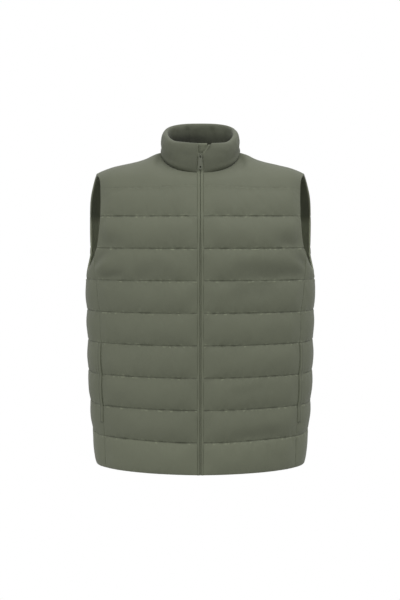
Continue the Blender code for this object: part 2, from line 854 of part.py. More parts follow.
def make_pull_tab(material, collection, helpers):
    """A flat tab hanging from a crossbar under the bail. Its origin lies on its hinge axis."""
    hinge = hinge_point()
    window_top = -TAB_CROSSBAR
    window_bottom = -(BAIL_HALF_LENGTH + BAIL_WIRE + TAB_WINDOW_PLAY)
    outline = (
        (TAB_TOP_WIDTH / 2, TAB_CROSSBAR),
        (TAB_TOP_WIDTH / 2, -TAB_WIDENS_FROM),
        (TAB_END_WIDTH / 2, -TAB_WIDENS_TO),
        (TAB_END_WIDTH / 2, TAB_CORNER - TAB_LENGTH),
        (TAB_END_WIDTH / 2 - TAB_CORNER, -TAB_LENGTH),
    )
    mesh = bmesh.new()
    right = [mesh.verts.new((x, -TAB_THICK / 2, z)) for x, z in outline]
    left = [mesh.verts.new((-x, -TAB_THICK / 2, z)) for x, z in reversed(outline)]
    face = mesh.faces.new(right + left)
    made = bmesh.ops.extrude_face_region(mesh, geom=[face])
    new_verts = [item for item in made["geom"] if isinstance(item, bmesh.types.BMVert)]
    bmesh.ops.translate(mesh, vec=(0.0, TAB_THICK, 0.0), verts=new_verts)
    bmesh.ops.recalc_face_normals(mesh, faces=mesh.faces[:])
    data = bpy.data.meshes.new("zip_pull_tab")
    mesh.to_mesh(data)
    mesh.free()
    data.materials.append(material)
    tab = bpy.data.objects.new("zip_pull_tab", data)
    collection.objects.link(tab)
    tab.location = hinge
    window_middle = (window_top + window_bottom) / 2
    window = make_box(
        "tab_window",
        (hinge[0], hinge[1], hinge[2] + window_middle),
        (TAB_TOP_WIDTH - 2 * TAB_RAIL, TAB_THICK * 3, window_top - window_bottom),
        helpers,
    )
    hole_data = bmesh.new()
    bmesh.ops.create_cone(
        hole_data,
        cap_ends=True,
        segments=16,
        radius1=TAB_HOLE_RADIUS,
        radius2=TAB_HOLE_RADIUS,
        depth=TAB_THICK * 3,
    )
    hole_mesh = bpy.data.meshes.new("tab_hole")
    hole_data.to_mesh(hole_mesh)
    hole_data.free()
    hole = bpy.data.objects.new("tab_hole", hole_mesh)
    hole.location = (hinge[0], hinge[1], hinge[2] - TAB_LENGTH + TAB_HOLE_FROM_END)
    hole.rotation_euler = (math.pi / 2, 0.0, 0.0)
    helpers.objects.link(hole)
    for cutter in (window, hole):
        add_boolean(tab, make_cutter(cutter), "DIFFERENCE")
    return tab


def main():
    clear_scene()
    vest = make_collection("puffer_vest")
    helpers = make_collection("cutters")
    shell = make_material("shell_nylon", SHELL_COLOUR, 0.62)
    tape = make_material("zip_tape", ZIP_COLOUR, 0.75)
    metal = make_material("coated_metal", METAL_COLOUR, 0.45, 0.6)
    for side in SIDE_SIGNS:
        make_front(side, shell, vest)
        make_side(side, shell, vest)
        make_welt(side, shell, vest)
        make_tape(side, tape, vest)
    make_back(shell, vest)
    make_collar(shell, vest)
    make_guard(shell, vest)
    make_slider(metal, vest, helpers)
    make_pull_tab(metal, vest, helpers)


main()
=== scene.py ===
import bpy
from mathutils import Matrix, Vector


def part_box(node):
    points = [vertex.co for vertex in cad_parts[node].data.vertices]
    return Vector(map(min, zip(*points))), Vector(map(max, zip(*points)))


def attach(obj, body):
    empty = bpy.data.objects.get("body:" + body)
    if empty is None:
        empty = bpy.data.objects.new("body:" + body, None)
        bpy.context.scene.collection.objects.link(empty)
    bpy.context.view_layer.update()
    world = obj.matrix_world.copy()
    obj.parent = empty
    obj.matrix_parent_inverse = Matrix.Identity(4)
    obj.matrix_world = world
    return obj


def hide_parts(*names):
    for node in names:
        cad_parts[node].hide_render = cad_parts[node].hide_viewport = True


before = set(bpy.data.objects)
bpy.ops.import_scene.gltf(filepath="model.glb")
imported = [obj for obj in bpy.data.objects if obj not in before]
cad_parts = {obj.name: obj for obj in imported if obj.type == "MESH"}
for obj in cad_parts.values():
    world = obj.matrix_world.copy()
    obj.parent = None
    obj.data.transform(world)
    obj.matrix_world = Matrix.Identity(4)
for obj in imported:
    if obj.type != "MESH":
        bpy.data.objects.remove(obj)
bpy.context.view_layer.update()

import math
from collections import namedtuple

import bmesh
import bpy
import numpy as np
from bpy.props import FloatProperty, FloatVectorProperty, PointerProperty
from mathutils import Vector, noise

bl_info = {
    "name": "Puffer Vest",
    "version": (1, 0, 0),
    "blender": (4, 5, 0),
    "location": "3D View > Sidebar > Vest",
    "description": "Dresses the vest's solids as quilted nylon with a zip, stitching and a studio",
    "category": "Object",
}

SIGNS = {"left": 1.0, "right": -1.0}

# The solids: the thickness of an empty wall, how loose triangles are joined, and the grids of points
WALL = 0.0035
MERGE_DISTANCE = 1e-6
JOIN_ANGLE = math.radians(75.0)
GRID_INFLUENCE = 2.0
CENTRE_WIDTH = 0.0001
COLLAR_COLUMNS = 19
COLLAR_ROWS = 8
STRIP_COLUMNS = 2
ROWS_IN_CHANNEL = 4
FIRST_SEAM_ROW = 36
SIDE_TOP_SEAM_ROW = 24

# How finely the cloth is drawn: its steps, the least distance between rows, the difference that two
# equal heights may have, how wide each kind of edge is rounded, how deep that is on a wall's inner side,
# and the shares of a rounded edge and of a channel at which its columns and rows lie
COLUMN_STEP = 0.0026
YOKE_STEP = 0.0028
STRIP_STEP = 0.0025
WELT_STEP = 0.0020
COLLAR_ROWS_DRAWN = 72
ROWS_APART = 0.00012
SAME_HEIGHT = 1e-9
ZIP_EDGE = 0.0003
SEWN_EDGE = 0.0010
FREE_EDGE = 0.0016
GUARD_EDGE = 0.0008
WELT_EDGE = 0.0009
INNER_EDGE = 0.8 * WALL
EDGE_MARGIN = 1.2
EDGE_SHARES = (0.0, 0.06, 0.25, 0.60, 1.0)
CHANNEL_SHARES = (
    0.0, 0.008, 0.016, 0.025, 0.038, 0.056, 0.085, 0.130, 0.190, 0.260, 0.340, 0.420,
    0.500, 0.580, 0.660, 0.740, 0.810, 0.870, 0.915, 0.944, 0.962, 0.975, 0.984, 0.992,
)

# Stitched lines: how wide the thread pulls the cloth in, how faint the first line is, how far the
# filling bridges it, and how far a panel's edges are moved out, almost to the panels beside it
SEAM_HALF_WIDTH = 0.0010
FIRST_SEAM_STRENGTH = 0.22
BRIDGE = 0.70
BRIDGE_REACH = 0.012
BRIDGE_FROM = 0.017
SEAM_REACH = 0.00014

# How much higher the lower lines run at the sides and the back: the most, and each line's share of it
# from the hem up. Each panel has its shares of that at its first and last edge, and the way between
SEAM_RISE = 0.014
RISE_BY_SEAM = (0.0, 1.0, 0.62, 0.45, 0.34, 0.12, 0.0, 0.0, 0.0, 0.0)
FRONT_RISE = (-0.18, 0.30, 1.0)
SIDE_RISE = (0.30, 1.0, 0.6)
BACK_RISE = (1.0, 1.0, 1.0)

# How far the first line sags at the fronts' sides, how far up and down that reaches, its share at the
# zip and the share of the front over which it grows
FRONT_SAG = 0.0090
SAG_REACH = 0.032
SAG_AT_ZIP = 0.35
SAG_GROWS_OVER = 0.5

# Cloth simulation of the filled panels: its grid, its frames and steps, how hard the filling presses,
# how stiff the cloth is, the share of it that is spare, how slack it starts, the columns that a crease
# spans, how high or deep it may be, how far it reaches and how much of it is left in mid channel
PUFF_STEP = 0.0045
PUFF_FRAMES = 20
PUFF_QUALITY = 5
PUFF_PRESSURE = 4.0
PUFF_STIFFNESS = 0.05
SPARE_CLOTH = 0.016
SLACK_START = 0.85
WRINKLE_REACH = 5
WRINKLE_CAP = 0.0025
WRINKLE_SHARE = 0.20
WRINKLE_IN_MIDDLE = 0.15

# How much boxier the hem's channel is. Then how far the shoulders are let down: the most, its middle
# and half width in x, and the height from which and the width over which it grows
HEM_FULLNESS = 0.60
SHOULDER_DIP = 0.0019
SHOULDER_MIDDLE = 0.118
SHOULDER_REACH = 0.026
SHOULDER_RAMP = (-0.07, 0.05)

# Relief beside the stitched lines: how far gathers and longer drags reach, the thin filling over which
# they fade, the plain width beside the thread, the filling at which folds are full, and the height and
# place of the small flecks, which are fewer above a line
GATHER_REACH = 0.0040
DRAG_REACH = 0.0110
DRAG_SHARE = 1.2
THIN_FILLING = 0.0015
THIN_SHARE = 0.25
PLAIN_WIDTH = 0.0008
FULL_FILLING = 0.0030
FLECK_HEIGHT = 0.0009
FLECK_DISTANCE = 0.0022
FLECK_WIDTH = 0.0012
FLECKS_ABOVE = 0.6

# Painted shade and light, as an amount for each point that the cloth's material reads, a negative amount
# painting light: its unit, painted light on every wall's inner side by height, painted shade per metre of a
# fold's hollow and how deep a hollow counts at most, a painted highlight on the flecks and painted light
# along the hem. Then how wide and deep the painted shade along the stitched lines is, and how much narrower
# it is where the thread pulls less and where a line is faint
PAINTED_SHADE_UNIT = 0.34
LINING_PAINTED_LIGHT = ((-0.145, -0.128), (-3.4, -0.5))
PAINTED_HOLLOW_SHADE = 120.0
DEEPEST_HOLLOW = 0.005
PAINTED_FLECK_LIGHT = -1.9
PAINTED_HEM_LIGHT = -0.42
SEAM_SHADE = 0.26
SEAM_SHADE_WIDTH = 0.0014
LOOSE_THREAD_FADE = 0.0016
FAINT_LINE_FADE = 0.0018
FAR_FROM_SEAMS = 1.0

# The weave's share of the colour, and how much lighter the thread and the coil are than their cloth,
# partly their own colour and partly a painted highlight where they catch the light
WEAVE_SHADE = 0.04
THREAD_TINT_AND_HIGHLIGHT = 1.35
COIL_TINT_AND_HIGHLIGHT = 1.2

# Collar: how much slimmer its foot and its rim are, how far the rim dips beside the front corners, and
# where in degrees round from the front. Ramps are a start and a width, in shares of the way from its
# base over the top and down inside. The last two are the most that it swells, and that its ends are
# rounded, in shares of half its thickness
COLLAR_SLIMMER = 0.034
RIM_SLIMMER = 0.010
RIM_DIP = 0.0028
RIM_DIP_TURN = 46.0
RIM_DIP_SPREAD = 17.0
FOOT_RAMP = (0.0, 0.14)
RIM_RAMP = (0.13, 0.14)
OUTSIDE_RAMP = (0.5, -0.12)
INSIDE_RAMP = (0.52, 0.10)
NEAR_RIM_RAMP = (0.5, -0.28)
COLLAR_MOST_SWELL = 0.3
COLLAR_MOST_DROP = 0.5

# Creases inside the back of the collar: x, half width and depth, and how far back they are at their full
COLLAR_CREASES = (
    (-0.0284, 0.0050, 0.0024),
    (0.0252, 0.0060, 0.0022),
    (-0.0540, 0.0080, 0.0016),
    (0.0520, 0.0070, 0.0018),
)
CREASES_BACK = 0.03

# Painted shade on the collar by the same way over it: darker on its front, least on its rim and darkest low
# inside. Inside it is scaled by x, painted deeper towards negative x, from one side to the other
COLLAR_PAINTED_SHADE = (
    (0.0, 0.30, 0.44, 0.50, 0.57, 0.66, 0.74, 1.0),
    (0.66, 0.58, 0.40, 0.26, 0.60, 0.96, 1.75, 2.20),
)
COLLAR_INSIDE = 0.55
COLLAR_SIDE_PAINTED_SHADE = (1.09, 0.19)
COLLAR_SIDE_REACH = 0.03

# Soft noise in the cloth: the size of its waves, its own seed, how far it swings and about what value,
# within what limits, and how it is stretched, which draws it out along an axis where it is under 1
Grain = namedtuple(
    "Grain", "size seed swing middle limits stretch",
    defaults=(1.0, 0.0, (-math.inf, math.inf), (1.0, 1.0, 1.0)),
)
NOISE_STEP = (17.3, -9.1, 5.7)
UNEVEN_FILLING = Grain(0.055, 0)
GATHERS = Grain(0.0046, 20, stretch=(1.0, 0.30, 1.0))
DRAGS = Grain(0.0135, 30, stretch=(1.0, 0.22, 1.0))
GATHERED_PATCHES = Grain(0.040, 40, 1.6, 0.55, (0.12, 1.0))
THREAD_PULL = Grain(0.011, 60, 1.3, 0.75, (0.15, 1.3), (1.0, 0.05, 1.0))
SOFT_CLOTH = Grain(0.030, 70, 0.0007)
FIRST_RIPPLES = Grain(0.006, 80, 0.0003)
FLECKS = Grain(0.0058, 90, 3.2, -0.45, (0.0, 1.0), (1.0, 0.6, 1.0))
GUARD_CREASES = Grain(0.012, 900, 0.0004, stretch=(1.0, 1.0, 0.35))
WELT_CREASES = Grain(0.016, 910, 0.0003, stretch=(1.0, 1.0, 0.6))
SOFT_COLLAR = Grain(0.030, 930, 0.0009)
SOFT_RIM = Grain(0.013, 931, 0.0006)

# Soft ridges (positive) and hollows in the cloth: both ends in x and z, half width and height. The ramps
# at a fold's start and end are shares of its length
Fold = namedtuple("Fold", "x z end_x end_z width height")
FOLD_STARTS = (-0.25, 0.35)
FOLD_ENDS = (1.15, -0.7)
FRONT_FOLDS = (
    Fold(-0.2250, -0.2500, -0.1720, -0.2120, 0.0085, 0.0026),
    Fold(-0.2000, -0.2540, -0.1480, -0.2420, 0.0095, -0.0034),
    Fold(-0.2170, -0.2240, -0.1860, -0.1960, 0.0100, -0.0026),
    Fold(-0.1250, -0.2440, -0.0450, -0.2320, 0.0190, -0.0018),
    Fold(-0.2080, -0.1800, -0.1500, -0.1740, 0.0170, -0.0026),
    Fold(0.2250, -0.2480, 0.1850, -0.2180, 0.0080, 0.0018),
    Fold(0.2160, -0.2260, 0.1880, -0.2040, 0.0100, -0.0030),
    Fold(0.2050, -0.2430, 0.0500, -0.2400, 0.0165, -0.0036),
    Fold(0.0800, -0.2260, 0.1700, -0.2290, 0.0170, -0.0014),
    Fold(0.2130, -0.1840, 0.1450, -0.1740, 0.0190, -0.0034),
    Fold(0.0700, -0.2850, 0.1700, -0.2720, 0.0210, -0.0030),
    Fold(0.0800, -0.5760, 0.1850, -0.5600, 0.0130, -0.0024),
    Fold(0.0700, -0.4850, 0.1700, -0.4700, 0.0110, -0.0012),
)
BACK_FOLDS = (
    Fold(-0.2150, -0.2350, -0.1640, -0.2010, 0.0090, 0.0020),
    Fold(-0.2050, -0.2450, -0.1560, -0.2290, 0.0100, -0.0022),
    Fold(0.2150, -0.2330, 0.1700, -0.1990, 0.0090, 0.0019),
    Fold(0.2040, -0.2430, 0.1500, -0.2310, 0.0110, -0.0024),
)

# A quilted panel: the columns and the top stitched row of its solid, the way from its first corner, how
# wide its two edges are rounded, how its lines rise and sag, and its folds. The panels' noise is told
# apart by a step in its seed
PanelPlan = namedtuple("PanelPlan", "columns top_seam towards first_edge last_edge rise sag folds")
PANELS = {
    **{"front_" + side: PanelPlan(12, FIRST_SEAM_ROW, (sign, 1.0, 10.0), ZIP_EDGE, SEWN_EDGE,
                                  FRONT_RISE, FRONT_SAG, FRONT_FOLDS)
       for side, sign in SIGNS.items()},
    **{"side_" + side: PanelPlan(9, SIDE_TOP_SEAM_ROW, (-sign, 1.0, 10.0), SEWN_EDGE, SEWN_EDGE,
                                 SIDE_RISE, 0.0, ())
       for side, sign in SIGNS.items()},
    "back": PanelPlan(21, FIRST_SEAM_ROW, (1.0, -1.0, 10.0), SEWN_EDGE, SEWN_EDGE,
                      BACK_RISE, 0.0, BACK_FOLDS),
}
SEED_STEP = 50

# Zip: two folded bands of tape with a floor under the coil, which comes forward from the chest down.
# The right tape is turned back above the slider
BAND_LIFT = 0.0009
FLOOR_DROP_TOP = 0.0009
FLOOR_DROP_LOW = 0.0001
TAPE_MEETS_CLOTH = 0.00025
BAND_EDGE = 0.0004
LEAST_GROOVE = 0.0006
LEAST_BAND = 0.0004
GROOVE_TOP = 0.0007
GROOVE_LOW = 0.0024
GROOVE_TOP_Z = -0.120
GROOVE_LOW_Z = -0.230
SLIDER_Z = -0.0045
TURNED_BACK = 0.0046
OPENS_ABOVE = 0.002
OPENS_OVER = 0.006
LEVEL_MARGIN = 0.00001
# Painted shade on the floor and fold of a tape where it is turned back, and painted light on its face, one
# amount for each point of its section
TAPE_PAINTED_SHADE = (1.8, 1.8, 1.8, 1.2, 0.0, -0.6, -0.6, -0.3, 0.0, 0.0)

# A band's section: the small step in x and y at the foot of its fold, the shares and drops by which the
# fold rounds over, the shares across its face, and how far it is tucked in beside the cloth
FOLD_FOOT = (0.00008, 0.0004)
FOLD_TOP = ((0.15, 0.0003), (0.45, 0.0001))
FACE_SHARES = (0.5, 0.9)
BAND_TUCK = 0.0002

# The coil's turns: their size, and how far in they are from the tape's edge, its foot and its top
TOOTH_SIZE = (0.0026, 0.0007, 0.0009)
TOOTH_FROM_EDGE = 0.0005
FIRST_TOOTH = 0.0018
LAST_TOOTH = 0.001

# Wind guard: the shares of its width at which its columns lie, and its top, to which it is raised. Then
# the roll along its top: its height, place and half width. The rest fade in below or towards the top
GUARD_COLUMNS = (0.0, 0.015, 0.05, 0.12, 0.22, 0.35, 0.5, 0.65, 0.78, 0.88, 0.95, 0.985, 1.0)
GUARD_TOP_Z = 0.0205
GUARD_LIFT_RAMP = (0.03, -0.03)
GUARD_ROLL = (0.0010, 0.0025, 0.0030)
GUARD_SWELL = 0.0006
GUARD_SWELL_RAMP = (0.02, -0.01)
# Painted light on the guard's upper part, full over its top 2 cm and gone 4 cm down
GUARD_PAINTED_LIGHT = -0.5
GUARD_LIGHT_RAMP = (0.04, -0.02)

# Pocket welts: their columns, how full they are, and the depth and width of their stitched line
WELT_COLUMNS = (0.0, 0.03, 0.10, 0.20, 0.32, 0.45, 0.58, 0.72, 0.84, 0.93, 1.0)
WELT_CROWN = 0.0007
WELT_ROUNDNESS = 0.7
WELT_STITCH_LINE = 0.0062
WELT_STITCH_DEPTH = 0.0004
WELT_STITCH_WIDTH = 0.0006

# Stitches: their length and half the way between the points that set their direction, as shares of
# their pitch, how unevenly they are sunk, and how many drawn rows below the line they lie
STITCH_SHARE = 0.8
STITCH_ENDS = 0.3
SUNK_SIZE = 0.009
SUNK_SWING = 1.6
SUNK_MIDDLE = -0.05
ROWS_BELOW_SEAM = 2

# Slider and pull tab. An edge lies at an end within END_MARGIN, and is deep where its direction's y is
# over FRONT_TO_BACK
BAIL_RISE = 0.0040
BAIL_WIRE = 0.0007
BAIL_HALF_LENGTH = 0.0034
PLATE = 0.0012
PLATE_LOW_CORNER = 0.0026
PLATE_HIGH_CORNER = 0.0028
POST_WIDTH = 0.0024
POST_HEIGHT = 0.0021
POST_FROM_TOP = 0.0006
TAB_CROSSBAR = 0.0007
TAB_RAIL = 0.0023
TAB_WIDENS = (-0.010, -0.016)
TAB_TOP_SHARE = 0.87
TAB_LOW_CORNER = 0.0015
TAB_HIGH_CORNER = 0.0006
TAB_WINDOW_CORNER = 0.0007
TAB_WINDOW_ROOM = 0.0010
TAB_HOLE_RADIUS = 0.0019
TAB_HOLE_FROM_END = 0.0052
METAL_EDGE = 0.00018
SHARP_ANGLE = math.radians(35.0)
END_MARGIN = 0.0001
FRONT_TO_BACK = 0.9

# Camera, floor, sky and lights. The sky's strength runs from side to side and from front to back, and
# its tones by their share of its height
CAMERA_PLACE = (-0.0008, -3.4, -0.1365)
CAMERA_TILT = math.radians(2.83)
CAMERA_LENS = 97.1
CAMERA_SENSOR = 36.0
CAMERA_REACH = 200.0
FLOOR_Z = -1.45
FLOOR_BOUNCE = 0.40
SKY_STRENGTH = 1.36
SKY_ACROSS = (0.98, 1.02)
SKY_DEPTH = (1.08, 0.55)
SKY_TONES = ((0.0, 0.20), (1.0, 0.30), (0.5, 0.52), (0.70, 0.75))
Lamp = namedtuple("Lamp", "name place target size power")
LAMPS = (
    Lamp("overhead", (1.3, -0.9, 2.2), (0.0, 0.0, -0.2), 2.2, 16.0),
    Lamp("low fill", (-1.7, -1.7, -1.2), (0.0, 0.0, -0.4), 1.4, 9.0),
)


class VestClothSettings(bpy.types.PropertyGroup):
    shell_colour: FloatVectorProperty(
        name="Shell colour", description="Colour of the nylon shell", subtype="COLOR", size=3,
        min=0.0, max=1.0, default=(0.135, 0.146, 0.100),
    )
    shell_roughness: FloatProperty(
        name="Shell roughness", description="How matt the nylon is", subtype="FACTOR", min=0.0,
        max=1.0, default=0.62,
    )
    weave_pitch: FloatProperty(
        name="Weave pitch", description="Distance between the threads of the nylon", unit="LENGTH",
        min=0.0001, max=0.002, default=0.00042,
    )
    roundness: FloatProperty(
        name="Channel roundness",
        description="How far the filling swells before it dives into a stitched line; smaller is fuller",
        min=0.3, max=1.5, default=0.9,
    )
    unevenness: FloatProperty(
        name="Unevenness", description="How much the filling differs along a channel",
        subtype="FACTOR", min=0.0, max=1.0, default=0.16,
    )
    pucker_depth: FloatProperty(
        name="Pucker depth", description="Depth of the small gathers beside the stitched lines",
        unit="LENGTH", min=0.0, max=0.003, default=0.0017,
    )
    seam_depth: FloatProperty(
        name="Seam depth",
        description="How deep the thread pulls the cloth in along a stitched line", unit="LENGTH",
        min=0.0, max=0.003, default=0.0007,
    )


class VestZipSettings(bpy.types.PropertyGroup):
    tape_colour: FloatVectorProperty(
        name="Tape colour", description="Colour of the woven zip tape", subtype="COLOR", size=3,
        min=0.0, max=1.0, default=(0.150, 0.162, 0.112),
    )
    metal_colour: FloatVectorProperty(
        name="Metal colour", description="Colour of the painted slider and pull tab",
        subtype="COLOR", size=3, min=0.0, max=1.0, default=(0.150, 0.160, 0.120),
    )
    tooth_pitch: FloatProperty(
        name="Tooth pitch", description="Distance between the turns of the zip's coil",
        unit="LENGTH", min=0.0008, max=0.004, default=0.0015,
    )


class VestStitchSettings(bpy.types.PropertyGroup):
    stitch_pitch: FloatProperty(
        name="Stitch pitch", description="Distance from one stitch to the next", unit="LENGTH",
        min=0.001, max=0.01, default=0.0034,
    )
    thread_thickness: FloatProperty(
        name="Thread thickness", description="Diameter of the sewing thread", unit="LENGTH",
        min=0.0001, max=0.001, default=0.00045,
    )


class VestStageSettings(bpy.types.PropertyGroup):
    floor_size: FloatProperty(
        name="Floor size", description="Side of the square floor", unit="LENGTH", min=1.0,
        max=100.0, default=60.0,
    )


def pick(*objects):
    """Only these are selected, and the first is active."""
    for obj in bpy.context.selected_objects:
        obj.select_set(False)
    for obj in objects:
        obj.select_set(True)
    bpy.context.view_layer.objects.active = objects[0]


def add_object(name, mesh, material):
    mesh.materials.clear()
    mesh.materials.append(material)
    obj = bpy.data.objects.new(name, mesh)
    bpy.context.scene.collection.objects.link(obj)
    return obj


def mix(a, b, share):
    return a + (b - a) * share


def curve_through(knots, values, places):
    """Values at new places on a smooth curve through known ones, along the first axis."""
    slopes = np.gradient(values, knots, axis=0)
    i = np.clip(np.searchsorted(knots, places, side="right") - 1, 0, len(knots) - 2)
    tail = (1,) * (values.ndim - 1)
    width = (knots[i + 1] - knots[i]).reshape(-1, *tail)
    t = ((places - knots[i]) / (knots[i + 1] - knots[i])).reshape(-1, *tail)
    rise = t * t * (3.0 - 2.0 * t)
    start = t * (1.0 - t) ** 2 * width * slopes[i]
    end = -t * t * (1.0 - t) * width * slopes[i + 1]
    return values[i] * (1.0 - rise) + values[i + 1] * rise + start + end


def lengths_along(points):
    """Distance run along the first axis of a grid of points, from its first row."""
    steps = np.linalg.norm(np.diff(points, axis=0), axis=-1)
    return np.concatenate([np.zeros_like(steps[:1]), np.cumsum(steps, axis=0)])


def merged_copy(node_name):
    """A copy of a CAD node with its loose triangles merged."""
    mesh = bmesh.new()
    mesh.from_mesh(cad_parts[node_name].data)
    bmesh.ops.remove_doubles(mesh, verts=mesh.verts[:], dist=MERGE_DISTANCE)
    return mesh


def joined_quads(node_name):
    """The merged copy, with its triangles joined into four-sided faces."""
    mesh = merged_copy(node_name)
    bmesh.ops.join_triangles(
        mesh,
        faces=mesh.faces[:],
        angle_face_threshold=JOIN_ANGLE,
        angle_shape_threshold=JOIN_ANGLE,
        topology_influence=GRID_INFLUENCE,
    )
    return mesh


def walk_grid(corner, columns, rows):
    """The points on one side of a wall by row and column, walked out from one corner."""
    beside = [edge.other_vert(corner) for edge in corner.link_edges]
    beside.sort(key=lambda vert: (vert.co - corner.co).length)
    across, up = sorted(beside[1:], key=lambda vert: vert.co.z)
    places = {corner: (0, 0), across: (1, 0), up: (0, 1)}
    first = next(face for face in corner.link_faces if across in face.verts and up in face.verts)
    order = list(first.verts)
    turn = 1 if order[(order.index(corner) + 1) % 4] == across else -1
    seen = {first}
    waiting = [first]
    while waiting:
        face = waiting.pop()
        verts = list(face.verts)
        for k in range(4):
            a, b, c, d = verts[k], verts[(k + 1) % 4], verts[(k + 2) % 4], verts[(k + 3) % 4]
            if a in places and b in places:
                break
        step = (places[b][0] - places[a][0], places[b][1] - places[a][1])
        side = (-turn * step[1], turn * step[0])
        found = {c: (places[b][0] + side[0], places[b][1] + side[1])}
        found[d] = (places[a][0] + side[0], places[a][1] + side[1])
        if not all(0 <= i < columns and 0 <= j < rows for i, j in found.values()):
            continue
        places.update(found)
        for edge in face.edges:
            for other in edge.link_faces:
                if other not in seen and len(other.verts) == 4:
                    seen.add(other)
                    waiting.append(other)
    grid = np.full((rows, columns, 3), np.nan)
    for vert, (i, j) in places.items():
        grid[j, i] = vert.co
    if np.isnan(grid).any():
        raise RuntimeError("a wall of the packed model isn't the grid that the scene expects")
    return grid


def read_sides(node_name, columns, towards):
    """The outer and inner points of a CAD wall. towards points away from its first outer corner."""
    mesh = joined_quads(node_name)
    rows = len(mesh.verts) // (2 * columns)
    corners = [vert for vert in mesh.verts if len(vert.link_edges) == 3]
    first = min(corners, key=lambda vert: vert.co.dot(Vector(towards)))
    beside = [edge.other_vert(first) for edge in first.link_edges]
    partner = min(beside, key=lambda vert: (vert.co - first.co).length)
    outer = walk_grid(first, columns, rows)
    inner = walk_grid(partner, columns, rows)
    mesh.free()
    return outer, inner


def read_collar():
    """The outer and inner points of the collar by row and column, from its right end round the back.

    Above the base, a column's two points lie level, one straight out from the other.
    """
    mesh = merged_copy("collar")
    points = np.array([vert.co for vert in mesh.verts])
    mesh.free()

    def order(x, y, side):
        turn = abs(math.degrees(math.atan2(x, -y)))
        return turn if side < 0 else 360.0 - turn

    level = {}
    for point in points:
        side = 0 if abs(point[0]) < CENTRE_WIDTH else math.copysign(1, point[0])
        level.setdefault((side, round(point[2], 7)), []).append(point)
    pairs = []
    base = []
    for (side, _), found in level.items():
        if len(found) != 2:
            base += found
            continue
        inside, outside = sorted(found, key=lambda point: math.hypot(point[0], point[1]))
        out = outside - inside
        pairs.append((order(out[0], out[1], side or -1), outside, inside))
    pairs.sort(key=lambda pair: pair[0])
    base.sort(key=lambda point: order(point[0], point[1], math.copysign(1, point[0] - CENTRE_WIDTH)))
    if len(pairs) != COLLAR_COLUMNS * (COLLAR_ROWS - 1) or len(base) != 2 * COLLAR_COLUMNS:
        raise RuntimeError("the packed collar isn't the grid that the scene expects")
    grid = []
    for k in range(COLLAR_COLUMNS):
        column = pairs[k * (COLLAR_ROWS - 1):(k + 1) * (COLLAR_ROWS - 1)]
        column.sort(key=lambda pair: pair[1][2])
        inside, outside = sorted(base[2 * k:2 * k + 2], key=lambda p: math.hypot(p[0], p[1]))
        grid.append([(outside, inside)] + [pair[1:] for pair in column])
    grid = np.array(grid).transpose(2, 1, 0, 3)
    return grid[0], grid[1]


def redraw(grid, across, up, new_across, new_up):
    """A grid of points or values drawn again at other places across and up it."""
    by_column = curve_through(across, np.swapaxes(grid, 0, 1), new_across)
    return curve_through(up, np.swapaxes(by_column, 0, 1), new_up)


def channel_profile(share, roundness):
    """How full a channel is, by the share of its height below its upper seam."""
    return (1.0 - np.abs(2.0 * share - 1.0) ** 2.0) ** roundness


def edge_drop(distance, radius):
    """How far a rounded edge falls away, by the distance from it."""
    inside = np.clip(radius - distance, 0.0, radius)
    return radius - np.sqrt(radius**2 - inside**2)


def ease(value):
    value = np.clip(value, 0.0, 1.0)
    return value * value * (3.0 - 2.0 * value)


def ramp(value, start, width):
    """Rises smoothly from 0 at the start to 1 a width further on, or further back if it is negative."""
    return ease((value - start) / width)


def bell(distance, width):
    """Falls smoothly from 1 at no distance to almost nothing at twice the width."""
    return np.exp(-(distance / width) ** 2)


def unit(ways):
    """The same directions, each with a length of 1."""
    return ways / np.linalg.norm(ways, axis=-1)[..., None]


def unique_sorted(values):
    values = np.sort(np.array(values))
    keep = [values[0]]
    for value in values[1:]:
        if value - keep[-1] > ROWS_APART:
            keep.append(value)
    keep[-1] = values[-1]
    return np.array(keep)


def spread_columns(length, step, first_edge, last_edge):
    near = first_edge * np.array(EDGE_SHARES)
    far = length - last_edge * np.array(EDGE_SHARES[::-1])
    count = int(round((length - first_edge - last_edge) / step))
    middle = np.linspace(near[-1], far[0], count)[1:-1]
    return np.concatenate([near, middle, far])


def spread_rows(up, seam_rows):
    """Heights of the drawn rows, closer together beside the stitched lines."""
    places = []
    for low, high in zip(seam_rows[:-1], seam_rows[1:]):
        places += [mix(up[high], up[low], share) for share in CHANNEL_SHARES]
    places.append(up[seam_rows[0]])
    places += list(up[seam_rows[0]] + FREE_EDGE * np.array(EDGE_SHARES))
    top = up[seam_rows[-1]]
    length = up[-1] - top
    if length > 0.0:
        count = max(int(round(length / YOKE_STEP)), 2)
        places += list(np.linspace(top, up[-1], count))
        places = [place for place in places if place < up[-1] - SEWN_EDGE * EDGE_MARGIN]
        places += list(up[-1] - SEWN_EDGE * np.array(EDGE_SHARES))
    return unique_sorted(places)


def wave(points, grain, seed=0):
    """Soft noise at each point, the same on every run."""
    number = grain.seed + seed
    shift = Vector([step * number for step in NOISE_STEP])
    flat = (points * grain.stretch).reshape(-1, 3) / grain.size
    values = np.array([noise.noise(Vector(point) + shift) for point in flat])
    return np.clip(grain.middle + grain.swing * values.reshape(points.shape[:-1]), *grain.limits)


def fold_height(points, folds):
    """How far the folds lift the cloth at each point, seen from the front or the back."""
    total = np.zeros(points.shape[:-1])
    for fold in folds:
        start = np.array([fold.x, fold.z])
        along = np.array([fold.end_x, fold.end_z]) - start
        length = np.linalg.norm(along)
        offset = points[..., (0, 2)] - start
        run = offset @ along / length**2
        beside = (offset[..., 0] * along[1] - offset[..., 1] * along[0]) / length
        taper = ramp(run, *FOLD_STARTS) * ramp(run, *FOLD_ENDS)
        total += fold.height * taper * bell(beside, fold.width)
    return total


